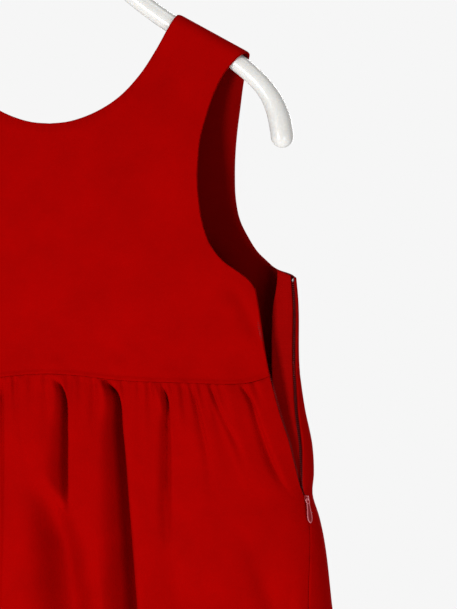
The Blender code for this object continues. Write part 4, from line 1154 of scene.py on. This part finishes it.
# %% The coil teeth and the top stops
COIL_PITCH = 1.5 * MM
COIL_SIZE = (0.55 * MM, 1.15 * MM, 0.7 * MM)
FRONT_COIL_TOP, BACK_COIL_TOP, COIL_END = 213.0, 205.0, 366.0
COIL_DROPS = (200, 268, 284, 345, 366)
COIL_FACES = 50
STOP_SIZE, STOP_ABOVE = (1.7, 1.5, 2.0), 1.6


def coil_line(side, top, sink, beyond):
    """A line along one edge of the zip, sunk under the outer face, and beyond the cut edge by so much
    at each of COIL_DROPS."""
    drop = np.linspace(top, COIL_END, 220)
    reach = np.interp(drop, COIL_DROPS, beyond)
    face, out = in_from_zip(side, -reach, drop)
    return face - sink * out, out


front_line = coil_line(FRONT, FRONT_COIL_TOP, 1.7, [-2.0, -1.2, 0.75, 0.75, -0.4])
back_line = coil_line(BACK, BACK_COIL_TOP, 1.1, [-0.5, -0.5, -0.5, -0.4, -0.4])
coil_values = {"Pitch": COIL_PITCH, "Size": COIL_SIZE, "Uneven": 0.04, "Material": NYLON_COIL}
coil_front = grown("zip_coil_front", COIL_TREE, [front_line], coil_values)
coil_back = grown("zip_coil_back", COIL_TREE, [back_line], coil_values)
print("coil teeth:", [len(coil.data.polygons) // COIL_FACES for coil in (coil_front, coil_back)])


def top_stop(name, line):
    """A small metal clip, crimped round the tape above the first tooth."""
    (first, second), out = line[0][:2], Vector(line[1][0])
    down = Vector(second - first).normalized()
    made = bmesh.new()
    bmesh.ops.create_cube(made, size=1.0)
    for vert in made.verts:
        vert.co = vert.co * Vector(STOP_SIZE) * MM
    bmesh.ops.bevel(made, geom=made.edges[:], offset=0.5 * MM, segments=4, profile=0.5, affect="EDGES")
    axes = Matrix([down.cross(out).normalized(), out, down]).transposed()
    made.transform(Matrix.Translation(Vector(first - STOP_ABOVE * np.array(down)) * MM) @ axes.to_4x4())
    mesh = bpy.data.meshes.new(name)
    made.to_mesh(mesh)
    made.free()
    return object_from(name, mesh, [ALUMINIUM], 40)


stops = [top_stop("zip_top_stop_front", front_line), top_stop("zip_top_stop_back", back_line)]

# %% [markdown]
# ## Turnings and stitches inside
# Inside the dress the seams' turnings show. The waist seam's lie up against the bodice, the side
# seam's towards the back, and their raw edges are overlocked. Small stitches hold the hem, the
# neckline's and the armholes' turned edges, and the zip's front tape.

# %% Seam turnings
TURNING_WIDTH, TURNING_THICK = 9.0, 1.1
TURNING_INSET = CLOTH + 0.25
TURNINGS_START, TURNINGS_END = 206.0, HEM_DROP - 1.5


def turning(name, place, out, cut):
    """A strip of seam turnings under the cloth, and the line of its raw edge."""
    strip = shell(name, place, out, TURNING_THICK, cut, (WRONG_SIDE_WITH_PAINTED_SHADE, WRONG_SIDE_WITH_PAINTED_SHADE))
    return strip, (place[:, -1] - TURNING_THICK / 2 * out[:, -1], -out[:, -1])


def waist_turnings(side):
    """The waist seam's turnings, pressed up under the bodice, each as one band."""
    left, right = waist_ends(side)
    angle = np.linspace(left + 0.01, right - 0.015, 150)[:, None]
    above = np.linspace(-1.5, TURNING_WIDTH, 7)
    drop = waist(angle, side) - above
    face, out = plain_cloth(angle + 0 * drop, drop, side)
    place = face - (TURNING_INSET + 0.15 + 0.5 * (above < 0.2))[..., None] * out
    cut = np.stack(np.broadcast_arrays(round_the_body(angle, side), drop), axis=-1)
    name = "waist_turnings_front" if side == FRONT else "waist_turnings_back"
    return turning(name, place, out, cut)


def side_turnings(name, hand, top):
    """A side seam's turnings, which lie towards the back, over the waist seam's and the hem."""
    drop = np.linspace(top, TURNINGS_END, 120)[:, None]
    inward = np.linspace(-0.8, TURNING_WIDTH, 7)
    edge = zip_edge(drop, BACK) if hand == RIGHT else np.full_like(drop, -math.pi / 2)
    angle = edge - hand * inward / mm_per_radian(edge, drop, BACK)
    flat = drop + 0 * inward
    face, out = plain_cloth(angle, flat, BACK)
    at_the_waist = (flat > WAIST_DROP - 15) & (flat < WAIST_DROP + 7)
    hem_fold = HEM_DROP - HEM_TURNED_UP
    under = np.where(at_the_waist, 1.6, 0.1) + 0.3
    under = under + 1.5 * eased(flat, hem_fold - 8, hem_fold - 2)
    place = face - (TURNING_INSET + under)[..., None] * out
    cut = np.stack(np.broadcast_arrays(inward, drop), axis=-1)
    return turning(name, place, out, cut)


turned = [waist_turnings(FRONT), waist_turnings(BACK),
          side_turnings("side_turnings_closed", LEFT, TURNINGS_START),
          side_turnings("side_turnings_under_zip", RIGHT, TAPE_END + 4)]
overlock = grown("overlock_thread", STITCH_TREE, [line for _, line in turned], {
    "Pitch": 1.6 * MM, "Size": (0.5 * MM, 1.5 * MM, 0.3 * MM), "Uneven": 0.2, "Material": THREAD})
print(len(turned), "overlocked edges with", len(overlock.data.polygons), "faces of thread")

# %% Rows of stitches
UNDERSTITCH_IN, PLACES_APART = 2.4, 7.0
HEM_ROW_IN = 1.6
STITCH_SINK = 0.05
STITCH_FACES = 24


def inside_row(places, side):
    """A line on the inner face along places (angle, drop) of a panel, and the way into the dress."""
    face, out = plain_cloth(places[:, 0], places[:, 1], side)
    return face - (CLOTH + STITCH_SINK) * out, -out


def understitching(side):
    """Rows just inside the two armholes and the neckline, between places of the panel's own grid."""
    rows = []
    for hand in (LEFT, RIGHT):
        half = half_bodice(side, hand)
        near = UNDERSTITCH_IN / PLACES_APART
        low = half[ROLL_STEPS:ARMHOLE_STEPS]
        rows += [inside_row(low[:, -1] * (1 - near) + low[:, -4] * near, side),
                 inside_row(half[ROLL_STEPS:, 0] * (1 - near) + half[ROLL_STEPS:, 2] * near, side)]
    return rows


def hem_row(side):
    """The row that holds the turned-up hem."""
    face = skirt_face(side)
    count = np.linspace(0.3, GATHERS - 0.3, 500)
    drop = np.full(len(count), HEM_DROP - HEM_TURNED_UP + HEM_ROW_IN)
    out = outward(face, count, drop, side, GATHER_STEPS)
    return face(count, drop) - (CLOTH + HEM_THICKER + STITCH_SINK) * out, -out


def tape_row():
    """A row down the middle of the front's tape."""
    drop = np.linspace(FRONT_TAPE_START + 3, TAPE_END - 8, 160)
    face, out = in_from_zip(FRONT, np.full(len(drop), FRONT_TAPE_WIDTH / 2), drop)
    return face - (CLOTH + TAPE_THICKNESS + 0.95) * out, -out


rows = understitching(FRONT) + understitching(BACK) + [hem_row(FRONT), hem_row(BACK), tape_row()]
sewing = grown("rows_of_stitches", STITCH_TREE, rows, {
    "Pitch": 3.0 * MM, "Size": (1.15 * MM, 0.26 * MM, 0.2 * MM), "Uneven": 0.12, "Material": THREAD})
print("stitches:", len(sewing.data.polygons) // STITCH_FACES)

# %% [markdown]
# ## Slider and tab
# An invisible zip's slider is small: a short plate with a wire bridge outside, a neck between the
# cloth's edges, and its body inside. The tab is a drop-shaped plate with a raised bead round it and an
# eye that the bridge passes through. Both stand on the solids' own axes, across the zip, out of the
# cloth and down it, so that the tab turns about the solid's pivot. Their rods come from a tree that
# sweeps a circle along each line, as thick as a stored value says.

# %% Where they sit
SLIDER_PLACE = np.array([195.9, -12.4, -503.8])
SLIDER_AXES = np.array([
    [0.7136, 0.7006, 0.0],  # across the zip
    [0.6874, -0.7002, 0.1929],  # out of the cloth
    [0.1351, -0.1376, -0.9812],  # down the zip
])
PIVOT_HEIGHT = 3.0
TAB_END = 18.6
print("the tab pivots at", (SLIDER_PLACE + PIVOT_HEIGHT * SLIDER_AXES[1]).round(1))


def from_slider(points):
    """Points (across, out, down) from the slider's place, in the scene's mm."""
    return SLIDER_PLACE + np.asarray(points, float) @ SLIDER_AXES


def block(made, low, high, rounded):
    """Adds a box with rounded edges, between two corners in the slider's frame, to a bmesh."""
    low, high = np.array(low), np.array(high)
    cube = bmesh.ops.create_cube(made, size=1.0)["verts"]
    for vert in cube:
        vert.co = (low + high) / 2 + np.array(vert.co) * (high - low)
    edges = [edge for edge in made.edges if edge.verts[0] in cube]
    bevel = bmesh.ops.bevel(made, geom=edges, offset=rounded, segments=4, profile=0.5, affect="EDGES")
    for vert in set(cube) | set(bevel["verts"]):
        if vert.is_valid:
            vert.co = from_slider(vert.co) * MM


def with_rods(name, made, rods):
    """One object from a bmesh and rods along lines, each (points in the slider's frame, radius)."""
    lines = [(from_slider(points), np.full(len(points), radius * MM)) for points, radius in rods]
    # The rods take the lighter enamel, which is a painted highlight along the rims
    swept = grown(name + "_rods", rod_tree, lines, {"Sides": 14, "Material": PAINTED_HIGHLIGHT_ENAMEL})
    flat_faces = len(made.faces)
    made.from_mesh(swept.data)
    made.faces.ensure_lookup_table()
    for face in made.faces[flat_faces:]:
        face.material_index = 1
    mesh = bpy.data.meshes.new(name)
    bmesh.ops.recalc_face_normals(made, faces=made.faces)
    made.to_mesh(mesh)
    made.free()
    bpy.data.objects.remove(swept)
    return object_from(name, mesh, [ENAMEL, PAINTED_HIGHLIGHT_ENAMEL], 50)


def tab_half_width(v):
    """Half the tab's width, so many mm down from its pivot."""
    return smooth(v, [4.2, 6.5, 10.0, 13.5, 16.0, 17.6, TAB_END], [1.0, 1.15, 1.5, 1.85, 1.7, 1.1, 0.0])


# %% A tree that sweeps a rod
rod_tree = bpy.data.node_groups.new("moulded_rod", "GeometryNodeTree")
given = group_inputs(rod_tree, [("Sides", "Int"), ("Material", "Material")])
path = add(rod_tree, "GeometryNodeMeshToCurve", {0: given["Line"]}).outputs[0]
thick = add(rod_tree, "GeometryNodeInputNamedAttribute", {"Name": "thick"}, data_type="FLOAT").outputs[0]
circle = add(rod_tree, "GeometryNodeCurvePrimitiveCircle", {"Resolution": given["Sides"], "Radius": 1.0})
rod = add(rod_tree, "GeometryNodeCurveToMesh", {
    "Curve": path, "Profile Curve": circle.outputs[0], "Scale": thick, "Fill Caps": True})
finished(rod_tree, rod, given)

# %% Slider and tab
BRIDGE_RISE, BRIDGE_REACH, BRIDGE_ROD = 1.1, 1.5, 0.45
BRIDGE_FOOT, BRIDGE_FOOT_REACH = 1.3, 1.7
TAB_START, TAB_HALF_THICK, BEAD_ROD = 4.2, 0.3, 0.42
EYE_HALF_WIDTH, EYE_HALF_LENGTH = 1.3, 2.35
SLIDER_BLOCKS = (
    ((-1.2, 0.5, -2.4), (1.2, 1.4, 2.8), 0.4),  # the plate outside
    ((-0.4, -4.7, -2.8), (0.4, 1.2, -0.6), 0.12),  # the neck
    ((-2.4, -6.6, -5.4), (2.4, -4.3, 4.0), 0.6),  # the body inside
)
plate = bmesh.new()
for low, high, rounded in SLIDER_BLOCKS:
    block(plate, low, high, rounded)
bridge = [(0, PIVOT_HEIGHT + BRIDGE_RISE * math.sin(t), -BRIDGE_REACH * math.cos(t))
          for t in np.radians(np.linspace(0, 180, 17))]
bridge = [(0, BRIDGE_FOOT, -BRIDGE_FOOT_REACH)] + bridge + [(0, BRIDGE_FOOT, BRIDGE_FOOT_REACH)]
zip_slider = with_rods("zip_slider_metal", plate, [(bridge, BRIDGE_ROD)])

down = TAB_END - (TAB_END - TAB_START) * (1 - np.cos(np.linspace(0, math.pi / 2, 26)))
half = tab_half_width(down)
bead = [(-w, PIVOT_HEIGHT, at) for w, at in zip(half[::-1], down[::-1])]
bead += [(w, PIVOT_HEIGHT, at) for w, at in zip(half[1:], down[1:])]
eye = [(EYE_HALF_WIDTH * math.sin(t), PIVOT_HEIGHT, EYE_HALF_LENGTH - EYE_HALF_LENGTH * math.cos(t))
       for t in np.radians(np.linspace(-150, 150, 29))]
field = bmesh.new()
for height in (TAB_HALF_THICK, -TAB_HALF_THICK):
    ring = [field.verts.new(from_slider((x, n + height, at)) * MM) for x, n, at in bead]
    field.faces.new(ring if height > 0 else ring[::-1])
bmesh.ops.bridge_loops(field, edges=[e for e in field.edges if len(e.link_faces) == 1])
pull_tab = with_rods("zip_pull_tab_metal", field, [(bead + bead[:1], BEAD_ROD), (eye, BEAD_ROD)])
print("slider and tab:", len(zip_slider.data.polygons), "and", len(pull_tab.data.polygons), "faces")

# %% [markdown]
# ## Hanger
# One moulding of white polystyrene: two drooping arms with round ends, and a hook on a stem that grows
# out of their middle with a fillet. Each is a rod that rounds off at its free ends, and the two rods
# are then joined to one skin.

# %% The hanger's two lines
HANGER_ARM = [(0, -75.5), (20, -86.5), (44, -105), (70, -127), (93, -143.3), (107, -151.1), (121, -158.9),
              (135, -167.2), (145, -174.6), (154.4, -182.8), (163.6, -192.6), (170.2, -203.2),
              (174.4, -214.8), (176.6, -226.5), (177.6, -238)]
STEM = [(8, -44), (2.6, -50.5), (0.3, -58), (0, -66), (0, -80)]
ARM_WIDER, FILLET = 1.7, 3.2
CAP_TURNS = np.radians([4, 15, 28, 42, 58, 74])


def rounded_rod(line, radii, at_start, at_end):
    """The rod's line with close points at its free ends, and its radius at each, in metres."""
    points = list(line)
    for free in (at_start, at_end):
        if free:
            end, radius = points[0], radii[0]
            way = (points[1] - end) / np.linalg.norm(points[1] - end) * radius
            rest = [p for p in points[1:] if np.linalg.norm(p - end) > radius * 1.2]
            points = [end + way * (1 - math.cos(t)) for t in CAP_TURNS] + [end + way] + rest
            radii = np.concatenate([radius * np.sin(CAP_TURNS), [radius], radii[-len(rest):]])
        points, radii = points[::-1], radii[::-1]
    return np.array([(x, 0.0, z) for x, z in points]), radii * MM


arm = along(HANGER_ARM, np.linspace(0, 1, 60))[0]
arm[:, 0] = np.maximum(arm[:, 0], 0)
arm_line = np.concatenate([arm[:0:-1] * (-1, 1), arm])
arm_radii = HANGER_RADIUS + ARM_WIDER * eased(-arm_line[:, 1], 185, 222)
turns = np.radians(np.linspace(200, -48, 60))
ring = (HOOK_OPENING_RADIUS + HOOK_RADIUS) * np.stack([np.cos(turns), np.sin(turns)], axis=-1)
ring[:, 1] -= HOOK_OPENING_RADIUS
stem = along([ring[-1]] + STEM, np.linspace(0, 1, 30))[0]
hook_line = np.concatenate([ring, stem[1:]])
hook_radii = HOOK_RADIUS + FILLET * eased(-hook_line[:, 1], 58, 71)
print("the hanger's arms span", round(2 * max(arm_line[:, 0] + arm_radii)), "mm")

# %% The hanger's two rods, made one
rods = []
for name, line, radii, free_ends in (("hanger_arms", arm_line, arm_radii, (True, True)),
                                     ("hanger_hook", hook_line, hook_radii, (True, False))):
    ends = rounded_rod(line, radii, *free_ends)
    rods.append(grown(name, rod_tree, [ends], {"Sides": 40, "Material": HANGER_WHITE}))
union = rods[0].modifiers.new("join", "BOOLEAN")
union.operation = "UNION"
union.object = rods[1]
bpy.context.view_layer.update()
moulding = bpy.data.meshes.new_from_object(rods[0].evaluated_get(bpy.context.evaluated_depsgraph_get()))
for rod in rods:
    bpy.data.objects.remove(rod)
moulding.name = "hanger_moulding"
moulding.materials.clear()
hanger = object_from("hanger_moulding", moulding, [HANGER_WHITE], 40)
print("hanger", len(moulding.polygons), "faces")

# %% [markdown]
# ## Joining the pieces to the frame
# Every piece but the tab rides on the dress's body, and each cloth, metal or moulded form stands for
# its solid. Each sheet's surface is printed as a share of the flat area of what shows of it. The tab
# moves on its hinge, so it rides on its own body.

# %% Pieces in the frame
for piece, node, flat, area, held, with_pieces in (
    (bodice_front, "bodice_front", (0.400, 0.300), 0.0790, "hung", [sewing]),
    (bodice_back, "bodice_back", (0.470, 0.300), 0.0890, "hung", [overlock]),
    (skirt_front, "skirt_front", (0.580, 0.450), 0.2400, "gathered", [turned[0][0], turned[2][0]]),
    (skirt_back, "skirt_back", (0.620, 0.450), 0.2700, "gathered", [turned[1][0], turned[3][0]]),
    (zip_front, "zip_tape_front", (0.015, 0.165), 0.00242, "hung", [coil_front, stops[0]]),
    (zip_back, "zip_tape_back", (0.017, 0.175), 0.0028, "hung", [coil_back, stops[1]]),
):
    for part in [piece] + with_pieces:
        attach(part, BODY)
    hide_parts(node)
    print(piece.name, round(half_surface(piece) / area, 3), "of its flat area")
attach(hanger, BODY)
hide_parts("hanger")
for piece, node, rides in ((zip_slider, "zip_slider", BODY), (pull_tab, "zip_pull_tab", TAB_BODY)):
    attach(piece, rides)
    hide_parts(node)
